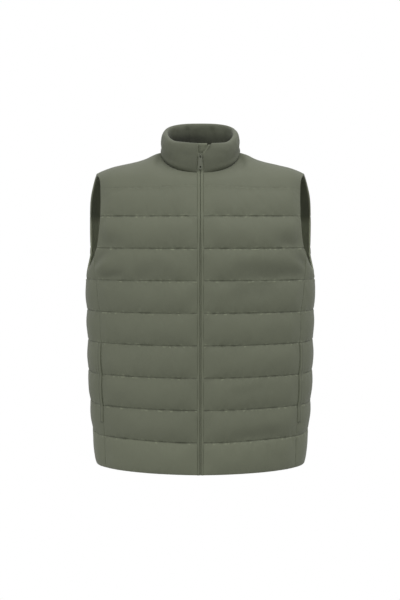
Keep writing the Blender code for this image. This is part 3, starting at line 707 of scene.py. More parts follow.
def spread_out(values, reach):
    """The values smoothed along the second axis, over about twice the reach in columns."""
    span = np.arange(-3 * reach, 3 * reach + 1)
    weights = bell(span, reach)
    padded = np.pad(values, ((0, 0), (3 * reach, 3 * reach)), mode="reflect", reflect_type="odd")
    return np.array([np.convolve(row, weights / weights.sum(), mode="valid") for row in padded])


def grid_faces(rows, columns):
    """The numbers of a grid's points, row by row, and its four-sided faces."""
    number = np.arange(rows * columns).reshape(rows, columns)
    a, b, c, d = number[:-1, :-1], number[:-1, 1:], number[1:, 1:], number[1:, :-1]
    return number, np.stack([a, b, c, d], axis=-1).reshape(-1, 4)


def flat_places(points):
    """Where each point of a grid lies on the flat cloth, across it and up it."""
    return np.stack([lengths_along(points.transpose(1, 0, 2)).T, lengths_along(points)], axis=2)


def filled_sheet(middle, outward, filling, sewn_rows, seed):
    """A sheet of cloth for the simulation, sewn down along its stitched rows and its edges."""
    number, faces = grid_faces(*filling.shape)
    ripple = wave(middle, FIRST_RIPPLES, seed)
    start = middle + outward * (SLACK_START * filling + ripple)[..., None]
    mesh = bpy.data.meshes.new("filling")
    mesh.from_pydata(start.reshape(-1, 3).tolist(), [], faces.tolist())
    rows, columns = filling.shape
    if Vector(outward[rows // 2, columns // 2]).dot(mesh.polygons[len(faces) // 2].normal) < 0.0:
        mesh.flip_normals()
    sheet = bpy.data.objects.new("filling", mesh)
    bpy.context.scene.collection.objects.link(sheet)
    sewn = np.zeros(filling.shape, dtype=bool)
    sewn[sewn_rows] = True
    sewn[-1] = True
    sewn[:, (0, -1)] = True
    pins = sheet.vertex_groups.new(name="sewn")
    pins.add(number[sewn].tolist(), 1.0, "REPLACE")
    return sheet


def simulated_wrinkles(middle, outward, filling, sewn_rows, seed):
    """The creases that the filling presses into a panel's cloth, from a short cloth simulation.

    The panel's outer cloth is a sheet that is a little larger than its solid, and is pressed out by the
    filling behind it. What it swells along the whole channel is left out, because the channel's own
    section gives that.
    """
    sheet = filled_sheet(middle, outward, filling, sewn_rows, seed)
    cloth = sheet.modifiers.new("filling", "CLOTH")
    cloth.collision_settings.use_collision = False
    cloth.collision_settings.use_self_collision = False
    cloth.point_cache.frame_start = 1
    cloth.point_cache.frame_end = PUFF_FRAMES
    rules = cloth.settings
    rules.quality = PUFF_QUALITY
    rules.vertex_group_mass = "sewn"
    rules.use_pressure = True
    rules.uniform_pressure_force = PUFF_PRESSURE
    rules.bending_stiffness = PUFF_STIFFNESS
    rules.shrink_min = -SPARE_CLOTH
    rules.shrink_max = -SPARE_CLOTH
    rules.effector_weights.gravity = 0.0
    scene = bpy.context.scene
    for moment in range(1, PUFF_FRAMES + 1):
        scene.frame_set(moment)
    pick(sheet)
    bpy.ops.object.modifier_apply(modifier=cloth.name)
    scene.frame_set(1)
    points = np.zeros(middle.size)
    sheet.data.vertices.foreach_get("co", points)
    heights = ((points.reshape(middle.shape) - middle) * outward).sum(axis=2)
    bpy.data.objects.remove(sheet, do_unlink=True)
    return np.clip(heights - spread_out(heights, WRINKLE_REACH), -WRINKLE_CAP, WRINKLE_CAP)


Wall = namedtuple("Wall", "middle outward filling across up seam_rows")
Creases = namedtuple("Creases", "up sewn_rows heights")
Panel = namedtuple("Panel", "outer inner outward uv seam_rows from_seam shade")


def read_wall(node_name, plan):
    """A panel's CAD wall: where its cloth would lie unfilled, which way is out, and the filling."""
    outer, inner = read_sides(node_name, plan.columns, plan.towards)
    outward = unit(outer - inner)
    middle = inner + outward * WALL
    filling = np.linalg.norm(outer - inner, axis=2) - WALL
    across = lengths_along(middle[: plan.top_seam + 1].transpose(1, 0, 2)).mean(axis=1)
    up = lengths_along(middle).mean(axis=1)
    return Wall(middle, outward, filling, across, up, list(range(0, plan.top_seam + 1, ROWS_IN_CHANNEL)))


def draw_wall(plan, wall, across, up):
    """The wall's points and ways out on the drawn grid, with its stitched lines raised or let down."""
    first, last, reach = plan.rise
    way_over = across / across[-1]
    rise = SEAM_RISE * mix(first, last, ease(way_over / reach))
    shares = np.interp(up, wall.up[wall.seam_rows], RISE_BY_SEAM[:len(wall.seam_rows)])
    sag = plan.sag * mix(SAG_AT_ZIP, 1.0, ease(way_over / SAG_GROWS_OVER))
    sagging = bell(up - wall.up[plan.top_seam], SAG_REACH)
    grids = (wall.middle, wall.outward)
    middle, outward = (redraw(grid, wall.across, wall.up, across, up) for grid in grids)
    for column, (risen, sunk) in enumerate(zip(rise, sag)):
        places = up + risen * shares - sunk * sagging
        for grid in (middle, outward):
            grid[:, column] = curve_through(up, grid[:, column], places)
    return middle, unit(outward)


def panel_creases(wall, drawn_across, seed):
    """The creases of a panel at its drawn columns, for each row of the simulated sheet."""
    across = np.linspace(0.0, wall.across[-1], int(wall.across[-1] / PUFF_STEP) + 1)
    knots = [wall.up[row] for row in wall.seam_rows]
    if wall.up[-1] - knots[-1] > PUFF_STEP:
        knots.append(wall.up[-1])
    runs = [np.linspace(low, high, max(int((high - low) / PUFF_STEP), 2) + 1)
            for low, high in zip(knots[:-1], knots[1:])]
    sewn_rows = np.cumsum([0] + [len(run) - 1 for run in runs])
    up = np.concatenate([run[:-1] for run in runs] + [knots[-1:]])
    grid = (wall.across, wall.up, across, up)
    filling = redraw(wall.filling[..., None], *grid)[..., 0]
    heights = simulated_wrinkles(redraw(wall.middle, *grid), unit(redraw(wall.outward, *grid)),
                                 filling, sewn_rows, seed)
    return Creases(up, sewn_rows, curve_through(across, heights.T, drawn_across).T)


def fill_channels(wall, middle, across, up, seed):
    """How far the filling swells the cloth: uneven along a channel, and creased beside its lines."""
    settings = bpy.context.scene.vest_cloth
    by_column = curve_through(wall.across, wall.filling.T, across).T
    filling = curve_through(wall.up, by_column, up)
    creases = panel_creases(wall, across, seed)
    for number, (low, high) in enumerate(zip(wall.seam_rows[:-1], wall.seam_rows[1:])):
        inside = (up >= wall.up[low] - SAME_HEIGHT) & (up <= wall.up[high] + SAME_HEIGHT)
        share = ((wall.up[high] - up[inside]) / (wall.up[high] - wall.up[low]))[:, None]
        top, full, bottom = by_column[high], by_column[low + ROWS_IN_CHANNEL // 2], by_column[low]
        uneven = 1.0 + settings.unevenness * wave(middle[inside], UNEVEN_FILLING, seed + number)
        profile = channel_profile(share, settings.roundness * (HEM_FULLNESS if number == 0 else 1.0))
        filling[inside] = mix(top, bottom, share) + (full - mix(top, bottom, 0.5)) * profile * uneven
        if creases:
            rows = slice(creases.sewn_rows[number], creases.sewn_rows[number + 1] + 1)
            lifted = curve_through(creases.up[rows], creases.heights[rows], up[inside])
            near_seam = np.exp(-np.minimum(share, 1.0 - share) / WRINKLE_SHARE)
            lifted *= mix(WRINKLE_IN_MIDDLE, 1.0, near_seam)
            filling[inside] = np.maximum(filling[inside] + lifted, 0.0)
    return filling


def bridge_first_line(filling, up, first_line):
    """The filling swells on under the first stitched line, which only lies lightly on it."""
    beside = [filling[np.argmin(np.abs(up - first_line - step))] for step in (-BRIDGE_FROM, BRIDGE_FROM)]
    near = BRIDGE * bell(up - first_line, BRIDGE_REACH)[:, None]
    return mix(filling, (beside[0] + beside[1]) / 2, near)


def edge_drops(plan, across, up):
    """How far a panel's outer side falls away at its four rounded edges."""
    edges = (
        (across[None, :], plan.first_edge),
        ((across[-1] - across)[None, :], plan.last_edge),
        (up[:, None], FREE_EDGE),
        ((up[-1] - up)[:, None], SEWN_EDGE),
    )
    return np.max(np.broadcast_arrays(*[edge_drop(far, radius) for far, radius in edges]), axis=0)


def panel_relief(plan, middle, filling, uv, seam_rows, strength, seed):
    """A panel's outer side: its height, the thread's pull, its distance from a line, and its painted shade
    and light.
    """
    settings = bpy.context.scene.vest_cloth
    heights = uv[..., 1]
    distances = np.abs(heights[None] - heights[seam_rows][:, None])
    from_seam = distances.min(axis=0)
    nearest = distances.argmin(axis=0)
    sewn = strength[nearest]
    flat = np.concatenate([uv, np.zeros_like(uv[..., :1])], axis=2)
    gathers = wave(flat, GATHERS, seed) * np.exp(-from_seam / GATHER_REACH)
    drags = wave(flat, DRAGS, seed) * np.exp(-from_seam / DRAG_REACH)
    free = np.clip(filling / THIN_FILLING, THIN_SHARE, 1.0) * (1.0 - bell(from_seam, PLAIN_WIDTH))
    pucker = settings.pucker_depth * wave(middle, GATHERED_PATCHES, seed) * sewn * free
    filled = np.clip(filling / FULL_FILLING, 0.0, 1.0)
    folded = fold_height(middle, plan.folds) * filled
    height = filling + pucker * (gathers + DRAG_SHARE * drags)
    height += wave(middle, SOFT_CLOTH, seed) * filled
    height += folded
    below = heights < heights[seam_rows][nearest, np.arange(heights.shape[1])[None, :]]
    flecks = wave(flat, FLECKS, seed)
    flecks *= sewn * mix(FLECKS_ABOVE, 1.0, below) * bell(from_seam - FLECK_DISTANCE, FLECK_WIDTH)
    height += FLECK_HEIGHT * flecks
    threads = wave(flat, THREAD_PULL, seed)
    pull = (strength[:, None, None] * bell(distances, SEAM_HALF_WIDTH)).max(axis=0)
    # Painted shade in the folds' hollows, and a painted highlight on the flecks
    shade = PAINTED_HOLLOW_SHADE * np.clip(-folded, 0.0, DEEPEST_HOLLOW) + PAINTED_FLECK_LIGHT * flecks
    # Painted light over the whole channel at the hem
    shade += PAINTED_HEM_LIGHT * (heights < heights[seam_rows[1]])
    # The painted shade along the lines is narrower where the thread pulls less and where a line is faint
    from_seam = from_seam + (1.0 - threads) * LOOSE_THREAD_FADE + (1.0 - sewn) * FAINT_LINE_FADE
    return height, settings.seam_depth * pull * threads, from_seam, shade


def let_shoulders_down(points):
    """Lets the middle of each shoulder down a little."""
    beside = bell(np.abs(points[..., 0]) - SHOULDER_MIDDLE, SHOULDER_REACH)
    points[..., 2] -= SHOULDER_DIP * beside * ramp(points[..., 2], *SHOULDER_RAMP)


def close_seams(points):
    """Moves a panel's edges out, almost to the panels beside it."""
    last = len(EDGE_SHARES) - 1
    for edge, inside in ((0, last), (-1, -1 - last)):
        for grid in (points, points.swapaxes(0, 1)):
            way = grid[edge] - grid[inside]
            grid[edge] += SEAM_REACH * way / np.linalg.norm(way, axis=1)[:, None]


def draw_panel(node_name, plan, seed):
    """A quilted panel drawn finely on the grid of its CAD wall."""
    wall = read_wall(node_name, plan)
    across = spread_columns(wall.across[-1], COLUMN_STEP, plan.first_edge, plan.last_edge)
    up = spread_rows(wall.up, wall.seam_rows)
    middle, outward = draw_wall(plan, wall, across, up)
    filling = fill_channels(wall, middle, across, up, seed)
    seam_rows = [int(np.argmin(np.abs(up - wall.up[row]))) for row in wall.seam_rows]
    strength = np.ones(len(seam_rows))
    strength[0] = 0.0
    if plan.top_seam == FIRST_SEAM_ROW:
        filling = bridge_first_line(filling, up, wall.up[FIRST_SEAM_ROW])
        strength[-1] = FIRST_SEAM_STRENGTH
    uv = flat_places(middle)
    height, pull, from_seam, shade = panel_relief(plan, middle, filling, uv, seam_rows, strength, seed)
    drop = edge_drops(plan, across, up)
    outer = middle + outward * (height - (pull + drop))[..., None]
    inner = middle + outward * (np.minimum(drop, INNER_EDGE) - WALL)[..., None]
    for points in (outer, inner):
        let_shoulders_down(points)
        close_seams(points)
    return Panel(outer, inner, outward, uv, seam_rows, from_seam, shade)


DRAWN = {}


def drawn_panel(node_name):
    """The panel's points. Each panel is drawn once and kept for the stitching."""
    if node_name not in DRAWN:
        seed = SEED_STEP * (1 + list(PANELS).index(node_name))
        DRAWN[node_name] = draw_panel(node_name, PANELS[node_name], seed)
    return DRAWN[node_name]


def close_wall(name, outer, inner, material, uv=None, seam_distance=FAR_FROM_SEAMS, shade=0.0):
    """One closed mesh from a wall's outer and inner points, with a rim round its four sides.

    seam_distance and shade are the outer side's: how near a stitched line is, and how much shade is
    painted into the colour there, a negative amount painting light. The inner side gets painted light by
    height.
    """
    number, front = grid_faces(*outer.shape[:2])
    size = number.size
    loop = np.concatenate([number[0, :-1], number[:-1, -1], number[-1, :0:-1], number[:0:-1, 0]])
    after = np.roll(loop, -1)
    rim = np.stack([after, loop, loop + size, after + size], axis=-1)
    faces = np.concatenate([front, front[:, ::-1] + size, rim])
    points = np.concatenate([outer.reshape(-1, 3), inner.reshape(-1, 3)])
    uv = flat_places(outer) if uv is None else uv
    outer_seams = np.broadcast_to(seam_distance, number.shape).ravel()
    outer_shade = np.broadcast_to(shade, number.shape).ravel()
    # Painted light on the inner side: lighter everywhere, and much lighter below about z = -0.145
    inner_shade = np.interp(inner[..., 2].ravel(), *LINING_PAINTED_LIGHT)
    return make_cloth(name, points, faces, np.concatenate([uv.reshape(-1, 2)] * 2),
                      np.concatenate([outer_seams, np.full(size, FAR_FROM_SEAMS)]),
                      np.concatenate([outer_shade, inner_shade]), material)


def make_cloth(name, points, faces, uv, seam_distance, shade, material):
    mesh = bpy.data.meshes.new(name)
    mesh.from_pydata(points.tolist(), [], faces.tolist())
    build = bmesh.new()
    build.from_mesh(mesh)
    if build.calc_volume(signed=True) < 0.0:
        bmesh.ops.reverse_faces(build, faces=build.faces[:])
    build.to_mesh(mesh)
    build.free()
    corners = np.zeros(len(mesh.loops), dtype=np.int32)
    mesh.loops.foreach_get("vertex_index", corners)
    layer = mesh.uv_layers.new(name="cloth")
    layer.data.foreach_set("uv", uv[corners].astype(np.float32).ravel())
    # Painted shade along the stitched lines, and each point's painted shade and light, negative amounts
    # being lighter
    nearness = bell(np.maximum(seam_distance, 0.0), SEAM_SHADE_WIDTH)
    for label, values in (("seam", nearness), ("lining", shade)):
        layer = mesh.attributes.new(label, "FLOAT", "POINT")
        layer.data.foreach_set("value", values.astype(np.float32))
    mesh.shade_smooth()
    return add_object(name, mesh, material)


def new_material(name):
    material = bpy.data.materials.new(name)
    material.use_nodes = True
    tree = material.node_tree
    return material, tree, tree.nodes["Principled BSDF"]


def add_node(tree, kind, **values):
    node = tree.nodes.new(kind)
    for key, value in values.items():
        setattr(node, key, value)
    return node


def math_node(tree, operation, first, second=0.0):
    node = add_node(tree, "ShaderNodeMath", operation=operation)
    for socket, value in zip(node.inputs, (first, second)):
        if isinstance(value, bpy.types.NodeSocket):
            tree.links.new(value, socket)
        else:
            socket.default_value = value
    return node.outputs[0]


def new_group(name, inputs, outputs):
    """A shader node group, with its own input and output nodes."""
    tree = bpy.data.node_groups.new(name, "ShaderNodeTree")
    for kind, sockets in (("INPUT", inputs), ("OUTPUT", outputs)):
        for label, socket_type, default in sockets:
            socket = tree.interface.new_socket(name=label, in_out=kind, socket_type=socket_type)
            if default is not None:
                socket.default_value = default
    return tree, tree.nodes.new("NodeGroupInput"), tree.nodes.new("NodeGroupOutput")


def make_weave_group():
    """Crossing threads, one over and one under, from flat coordinates in metres."""
    inputs = [("Vector", "NodeSocketVector", None), ("Pitch", "NodeSocketFloat", 0.0005)]
    tree, source, target = new_group("plain weave", inputs, [("Height", "NodeSocketFloat", None)])
    split = add_node(tree, "ShaderNodeSeparateXYZ")
    tree.links.new(source.outputs["Vector"], split.inputs[0])
    turns = math_node(tree, "DIVIDE", math.pi, source.outputs["Pitch"])
    waves = [
        math_node(tree, "SINE", math_node(tree, "MULTIPLY", split.outputs[axis], turns))
        for axis in ("X", "Y")
    ]
    product = math_node(tree, "MULTIPLY", waves[0], waves[1])
    tree.links.new(product, target.inputs["Height"])
    return tree


def make_tone_group():
    """Soft patches of lighter and darker cloth, centred on 1."""
    inputs = [
        ("Vector", "NodeSocketVector", None),
        ("Scale", "NodeSocketFloat", 12.0),
        ("Amount", "NodeSocketFloat", 0.1),
    ]
    tree, source, target = new_group("cloth tone", inputs, [("Tone", "NodeSocketFloat", None)])
    cloud = add_node(tree, "ShaderNodeTexNoise")
    cloud.inputs["Detail"].default_value = 4.0
    tree.links.new(source.outputs["Vector"], cloud.inputs["Vector"])
    tree.links.new(source.outputs["Scale"], cloud.inputs["Scale"])
    centred = math_node(tree, "SUBTRACT", cloud.outputs[0], 0.5)
    swing = math_node(tree, "MULTIPLY", centred, source.outputs["Amount"])
    tree.links.new(math_node(tree, "ADD", swing, 1.0), target.inputs["Tone"])
    return tree


def use_group(tree, group, **links):
    node = add_node(tree, "ShaderNodeGroup", node_tree=group)
    for label, value in links.items():
        if isinstance(value, bpy.types.NodeSocket):
            tree.links.new(value, node.inputs[label])
        else:
            node.inputs[label].default_value = value
    return node


def shared_group(name, maker):
    return bpy.data.node_groups.get(name) or maker()


def scaled_colour(tree, colour, factor):
    """The colour times a factor, as one socket."""
    node = add_node(tree, "ShaderNodeMix", data_type="RGBA", blend_type="MULTIPLY")
    node.inputs["Factor"].default_value = 1.0
    node.inputs["A"].default_value = (*colour, 1.0)
    tree.links.new(factor, node.inputs["B"])
    return node.outputs["Result"]


def add_bump(tree, shader, height, strength, distance):
    bump = add_node(tree, "ShaderNodeBump")
    bump.inputs["Strength"].default_value = strength
    bump.inputs["Distance"].default_value = distance
    tree.links.new(height, bump.inputs["Height"])
    tree.links.new(bump.outputs[0], shader.inputs["Normal"])


def toned_finish(tree, shader, tone, colour, factor, roughness):
    """The colour times a factor, and a roughness that follows the soft tone."""
    tree.links.new(scaled_colour(tree, colour, factor), shader.inputs["Base Color"])
    tree.links.new(math_node(tree, "MULTIPLY", tone, roughness), shader.inputs["Roughness"])


def soft_tone(tree, scale, amount):
    place = add_node(tree, "ShaderNodeTexCoord")
    group = shared_group("cloth tone", make_tone_group)
    return use_group(tree, group, Vector=place.outputs["Object"], Scale=scale, Amount=amount).outputs[0]


def cloth_material(name, colour, roughness, pitch, depth):
    """Woven cloth: threads, soft tone, painted shade along the seams, each point's painted shade and light,
    and a little sheen. It is made once and shared.
    """
    if name in bpy.data.materials:
        return bpy.data.materials[name]
    material, tree, shader = new_material(name)
    flat = add_node(tree, "ShaderNodeUVMap", uv_map="cloth")
    group = shared_group("plain weave", make_weave_group)
    weave = use_group(tree, group, Vector=flat.outputs[0], Pitch=pitch).outputs[0]
    tone = soft_tone(tree, scale=14.0, amount=0.16)
    factor = tone
    # Both attributes paint shade into the colour: along the stitched lines, and each point's own amount,
    # where a negative amount paints light
    for attribute, deeper in (("seam", SEAM_SHADE), ("lining", PAINTED_SHADE_UNIT)):
        amount = add_node(tree, "ShaderNodeAttribute", attribute_name=attribute).outputs["Fac"]
        factor = math_node(tree, "SUBTRACT", factor, math_node(tree, "MULTIPLY", amount, deeper))
    factor = math_node(tree, "ADD", factor, math_node(tree, "MULTIPLY", weave, WEAVE_SHADE))
    toned_finish(tree, shader, tone, colour, factor, roughness)
    add_bump(tree, shader, weave, strength=0.5, distance=depth)
    shader.inputs["Sheen Weight"].default_value = 0.12
    shader.inputs["Sheen Roughness"].default_value = 0.45
    shader.inputs["Specular IOR Level"].default_value = 0.35
    return material


def shell_material():
    settings = bpy.context.scene.vest_cloth
    return cloth_material("matt nylon", settings.shell_colour, settings.shell_roughness,
                          pitch=settings.weave_pitch, depth=0.00006)


def tape_material():
    colour = bpy.context.scene.vest_zip.tape_colour
    return cloth_material("woven zip tape", colour, roughness=0.72, pitch=0.0007, depth=0.00012)


def thread_material():
    # Lighter thread: partly its own colour and partly a painted highlight
    colour = [value * THREAD_TINT_AND_HIGHLIGHT for value in bpy.context.scene.vest_cloth.shell_colour]
    return cloth_material("sewing thread", colour, roughness=0.6, pitch=0.0003, depth=0.00005)


def teeth_material():
    # Lighter coil: partly its own colour and partly a painted highlight
    colour = [value * COIL_TINT_AND_HIGHLIGHT for value in bpy.context.scene.vest_zip.tape_colour]
    return cloth_material("nylon coil", colour, roughness=0.5, pitch=0.0004, depth=0.00003)


def metal_material():
    """Painted metal with a fine orange-peel surface."""
    if "painted metal" in bpy.data.materials:
        return bpy.data.materials["painted metal"]
    material, tree, shader = new_material("painted metal")
    tone = soft_tone(tree, scale=300.0, amount=0.25)
    toned_finish(tree, shader, tone, bpy.context.scene.vest_zip.metal_colour, tone, 0.42)
    add_bump(tree, shader, tone, strength=0.2, distance=0.00005)
    shader.inputs["Metallic"].default_value = 0.55
    return material


class VEST_OT_add_quilted_panels(bpy.types.Operator):
    """Quilts the two fronts, the two sides and the back over their solids"""

    bl_idname = "vest.add_quilted_panels"
    bl_label = "Quilted panels"

    def execute(self, context):
        for node_name in PANELS:
            panel = drawn_panel(node_name)
            piece = close_wall(node_name + "_quilted", panel.outer, panel.inner, shell_material(),
                               panel.uv, panel.from_seam, panel.shade)
            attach(piece, "vest")
            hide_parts(node_name)
        return {"FINISHED"}


def edit_whole(obj, operator, **values):
    """Runs an edit mode operator on the whole of a mesh."""
    pick(obj)
    bpy.ops.object.mode_set(mode="EDIT")
    bpy.ops.mesh.select_all(action="SELECT")
    operator(**values)
    bpy.ops.object.mode_set(mode="OBJECT")


def nearest_end(run):
    """How far each place along a run is from the nearer of its ends."""
    return np.minimum(run, run[-1] - run)


def draw_collar():
    """The collar's points up its outer side, over the top and down inside, and each row's share of that."""
    outer, inner = read_collar()
    section = np.concatenate([outer, inner[::-1]])
    along = lengths_along(section.transpose(1, 0, 2)).mean(axis=1)
    over = lengths_along(section).mean(axis=1)
    new_along = spread_columns(along[-1], COLUMN_STEP, ZIP_EDGE, ZIP_EDGE)
    new_over = np.linspace(0.0, over[-1], COLLAR_ROWS_DRAWN)
    points = redraw(section, along, over, new_along, new_over)
    share = new_over / new_over[-1]
    slimmer = mix(COLLAR_SLIMMER, RIM_SLIMMER, ramp(share, *RIM_RAMP))
    outside = ramp(share, *OUTSIDE_RAMP) * ramp(share, *FOOT_RAMP)
    points[:, :, 0] *= 1.0 - (slimmer * outside)[:, None]
    behind = ramp(share, *INSIDE_RAMP)[:, None] * ease(points[:, :, 1] / CREASES_BACK)
    for x, width, depth in COLLAR_CREASES:
        points[:, :, 1] += depth * behind * bell(points[:, :, 0] - x, width)
    turn = np.degrees(np.arctan2(np.abs(points[:, :, 0]), -points[:, :, 1]))
    near_rim = ramp(np.abs(share - 0.5), *NEAR_RIM_RAMP)[:, None]
    points[:, :, 2] -= RIM_DIP * near_rim * bell(turn - RIM_DIP_TURN, RIM_DIP_SPREAD)
    centre = (points + points[::-1]) / 2
    half = np.linalg.norm(points - centre, axis=2)
    soft = wave(points, SOFT_COLLAR) + wave(points, SOFT_RIM) * near_rim
    swell = np.minimum(soft, COLLAR_MOST_SWELL * half)
    swell -= np.minimum(edge_drop(nearest_end(new_along), ZIP_EDGE)[None, :], COLLAR_MOST_DROP * half)
    return centre + (points - centre) * (1.0 + swell / np.maximum(half, MERGE_DISTANCE))[:, :, None], share


def collar_faces(rows, columns):
    """The faces of the collar's shell, its base and its two ends."""
    number, shell = grid_faces(rows, columns)
    base = np.stack([number[0, 1:], number[0, :-1], number[-1, :-1], number[-1, 1:]], axis=-1)
    ends = []
    for line, turn in ((number[:, 0], 1), (number[:, -1], -1)):
        for k in range(rows // 2 - 1):
            ends.append([line[k], line[k + 1], line[rows - 2 - k], line[rows - 1 - k]][::turn])
    return np.concatenate([shell, base, np.array(ends)])


class VEST_OT_add_collar(bpy.types.Operator):
    """Pads the stand collar over its solid"""

    bl_idname = "vest.add_collar"
    bl_label = "Collar"

    def execute(self, context):
        points, share = draw_collar()
        rows, columns = points.shape[:2]
        # Painted shade over the collar, deeper inside towards negative x
        shade = np.interp(share, *COLLAR_PAINTED_SHADE)[:, None] * np.ones(columns)
        inside = share > COLLAR_INSIDE
        middle, swing = COLLAR_SIDE_PAINTED_SHADE
        shade[inside] *= middle - swing * np.clip(points[inside, :, 0] / COLLAR_SIDE_REACH, -1.0, 1.0)
        piece = make_cloth("collar_padded", points.reshape(-1, 3), collar_faces(rows, columns),
                           flat_places(points).reshape(-1, 2), np.full(rows * columns, FAR_FROM_SEAMS),
                           shade.ravel(), shell_material())
        edit_whole(piece, bpy.ops.mesh.normals_make_consistent, inside=False)
        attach(piece, "vest")
        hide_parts("collar")
        return {"FINISHED"}


def copies(name, places, size, material):
    """Many small grains in one piece: one is modelled, and a copy is laid at each place.

    Its faces are sorted, because they come in another order on each run.
    """
    bpy.ops.object.select_all(action="DESELECT")
    bpy.ops.mesh.primitive_uv_sphere_add(segments=6, ring_count=4, radius=0.5)
    pattern = bpy.context.active_object
    pattern.rotation_euler = (0.0, math.pi / 2, 0.0)
    bpy.ops.object.transform_apply(location=False, rotation=True, scale=False)
    shape = np.array([vert.co for vert in pattern.data.vertices]) * size
    polygons = sorted(list(face.vertices) for face in pattern.data.polygons)
    bpy.data.objects.remove(pattern, do_unlink=True)
    points = []
    faces = []
    for number, (place, along, outward) in enumerate(places):
        axes = np.stack([along, np.cross(outward, along), outward])
        points.append(shape @ axes + place)
        faces += [[index + number * len(shape) for index in face] for face in polygons]
    mesh = bpy.data.meshes.new(name)
    mesh.from_pydata(np.concatenate(points).tolist(), [], faces)
    mesh.shade_smooth()
    return add_object(name, mesh, material)


def at_distance(place, run, values):
    """A line's point or direction at a distance along it."""
    return np.array([np.interp(place, run, values[:, axis]) for axis in range(3)])


def stitch_places(line, outward, pitch, lift):
    """(place, direction, outward) of each stitch along a line of points."""
    run = lengths_along(line)
    count = int(run[-1] / pitch)
    reach = pitch * STITCH_ENDS
    found = []
    for middle in (np.arange(count) + 0.5) * run[-1] / count:
        start, end = (at_distance(middle + step, run, line) for step in (-reach, reach))
        away = at_distance(middle, run, outward)
        along = end - start
        along /= np.linalg.norm(along)
        away -= along * away.dot(along)
        away /= np.linalg.norm(away)
        centre = (start + end) / 2
        sunk = lift * (noise.noise(Vector(centre) / SUNK_SIZE) * SUNK_SWING + SUNK_MIDDLE)
        found.append((centre + away * sunk, along, away))
    return found


class VEST_OT_add_stitching(bpy.types.Operator):
    """Lays the quilting stitches in the stitched lines"""

    bl_idname = "vest.add_stitching"
    bl_label = "Stitching"

    def execute(self, context):
        settings = context.scene.vest_stitches
        thread = settings.thread_thickness
        places = []
        for node_name in PANELS:
            panel = drawn_panel(node_name)
            for seam_row in panel.seam_rows[1:]:
                row = seam_row - ROWS_BELOW_SEAM
                places += stitch_places(panel.outer[row], panel.outward[row], settings.stitch_pitch, thread)
        size = (settings.stitch_pitch * STITCH_SHARE, thread, thread)
        piece = copies("quilting_stitches", places, size, thread_material())
        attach(piece, "vest")
        return {"FINISHED"}


def read_strip(node_name, towards, columns, step):
    """A narrow strip's solid drawn again with more columns, and a row at each step up it."""
    outer, inner = read_sides(node_name, STRIP_COLUMNS, towards)
    across = lengths_along(outer.transpose(1, 0, 2)).mean(axis=1)
    up = lengths_along(outer).mean(axis=1)
    new_across = across[-1] * np.array(columns)
    new_up = np.linspace(0.0, up[-1], int(up[-1] / step) + 1)
    grid = (across, up, new_across, new_up)
    return redraw(outer, *grid), redraw(inner, *grid), new_across, new_up


def lower_down(top, low, z):
    """The bands part a little more from the chest down, and the coil comes forward between them."""
    return mix(top, low, ease((GROOVE_TOP_Z - z) / (GROOVE_TOP_Z - GROOVE_LOW_Z)))


def turned_back(side, z):
    """How far a tape is turned back at a height: the right one above the slider, the left one nowhere."""
    return ease((z - SLIDER_Z - OPENS_ABOVE) / OPENS_OVER) * (side == "right")


def tape_lines(side):
    """Heights, then x beside the coil, x beside the cloth, front y and back y of one tape."""
    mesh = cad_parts["zip_tape_" + side].data
    points = np.array([vert.co for vert in mesh.vertices])
    start, end = points[np.array([edge.vertices[:] for edge in mesh.edges]).T]
    low, high = points[:, 2].min() + LEVEL_MARGIN, points[:, 2].max() - LEVEL_MARGIN
    z = np.linspace(low, high, int((high - low) / STRIP_STEP) + 1)
    cuts = []
    for level in z:
        crossing = (start[:, 2] - level) * (end[:, 2] - level) <= 0.0
        crossing &= start[:, 2] != end[:, 2]
        first, last = start[crossing], end[crossing]
        share = ((level - first[:, 2]) / (last[:, 2] - first[:, 2]))[:, None]
        cut = mix(first, last, share)
        x = np.abs(cut[:, 0])
        cuts.append((x.min(), x.max(), cut[:, 1].min(), cut[:, 1].max()))
    coil_x, cloth_x, front, back = np.array(cuts).T
    return z, mix(coil_x, TURNED_BACK, turned_back(side, z)), cloth_x, front, back


def make_tape(side):
    """One band of tape: folded over at the groove, with a floor under the coil."""
    sign = SIGNS[side]
    z, coil_x, cloth_x, front, back = tape_lines(side)
    cloth_x = cloth_x + TAPE_MEETS_CLOTH
    edge = np.maximum(lower_down(GROOVE_TOP, GROOVE_LOW, z), coil_x + LEAST_GROOVE)
    fold = np.minimum(edge + 2.0 * BAND_EDGE, cloth_x - LEAST_BAND)
    floor = front + lower_down(FLOOR_DROP_TOP, FLOOR_DROP_LOW, z)
    face = front - BAND_LIFT
    foot_x, foot_y = FOLD_FOOT
    section = (
        (coil_x, floor),
        (mix(coil_x, edge, 0.5), floor),
        (edge - foot_x, floor),
        (edge, floor - foot_y),
        *((mix(edge, fold, share), face + drop) for share, drop in FOLD_TOP),
        (fold, face),
        *((mix(fold, cloth_x, share), face) for share in FACE_SHARES),
        (cloth_x, face + BAND_TUCK),
    )
    outer = np.stack([np.stack([x * sign, y, z], axis=1) for x, y in section], axis=1)
    inner = outer.copy()
    inner[:, :, 1] = back[:, None]
    # Painted shade and light on the right tape where it is turned back above the slider
    shade = turned_back(side, z)[:, None] * np.array(TAPE_PAINTED_SHADE)
    piece = close_wall("zip_tape_%s_woven" % side, outer, inner, tape_material(), shade=shade)
    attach(piece, "vest")
    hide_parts("zip_tape_" + side)


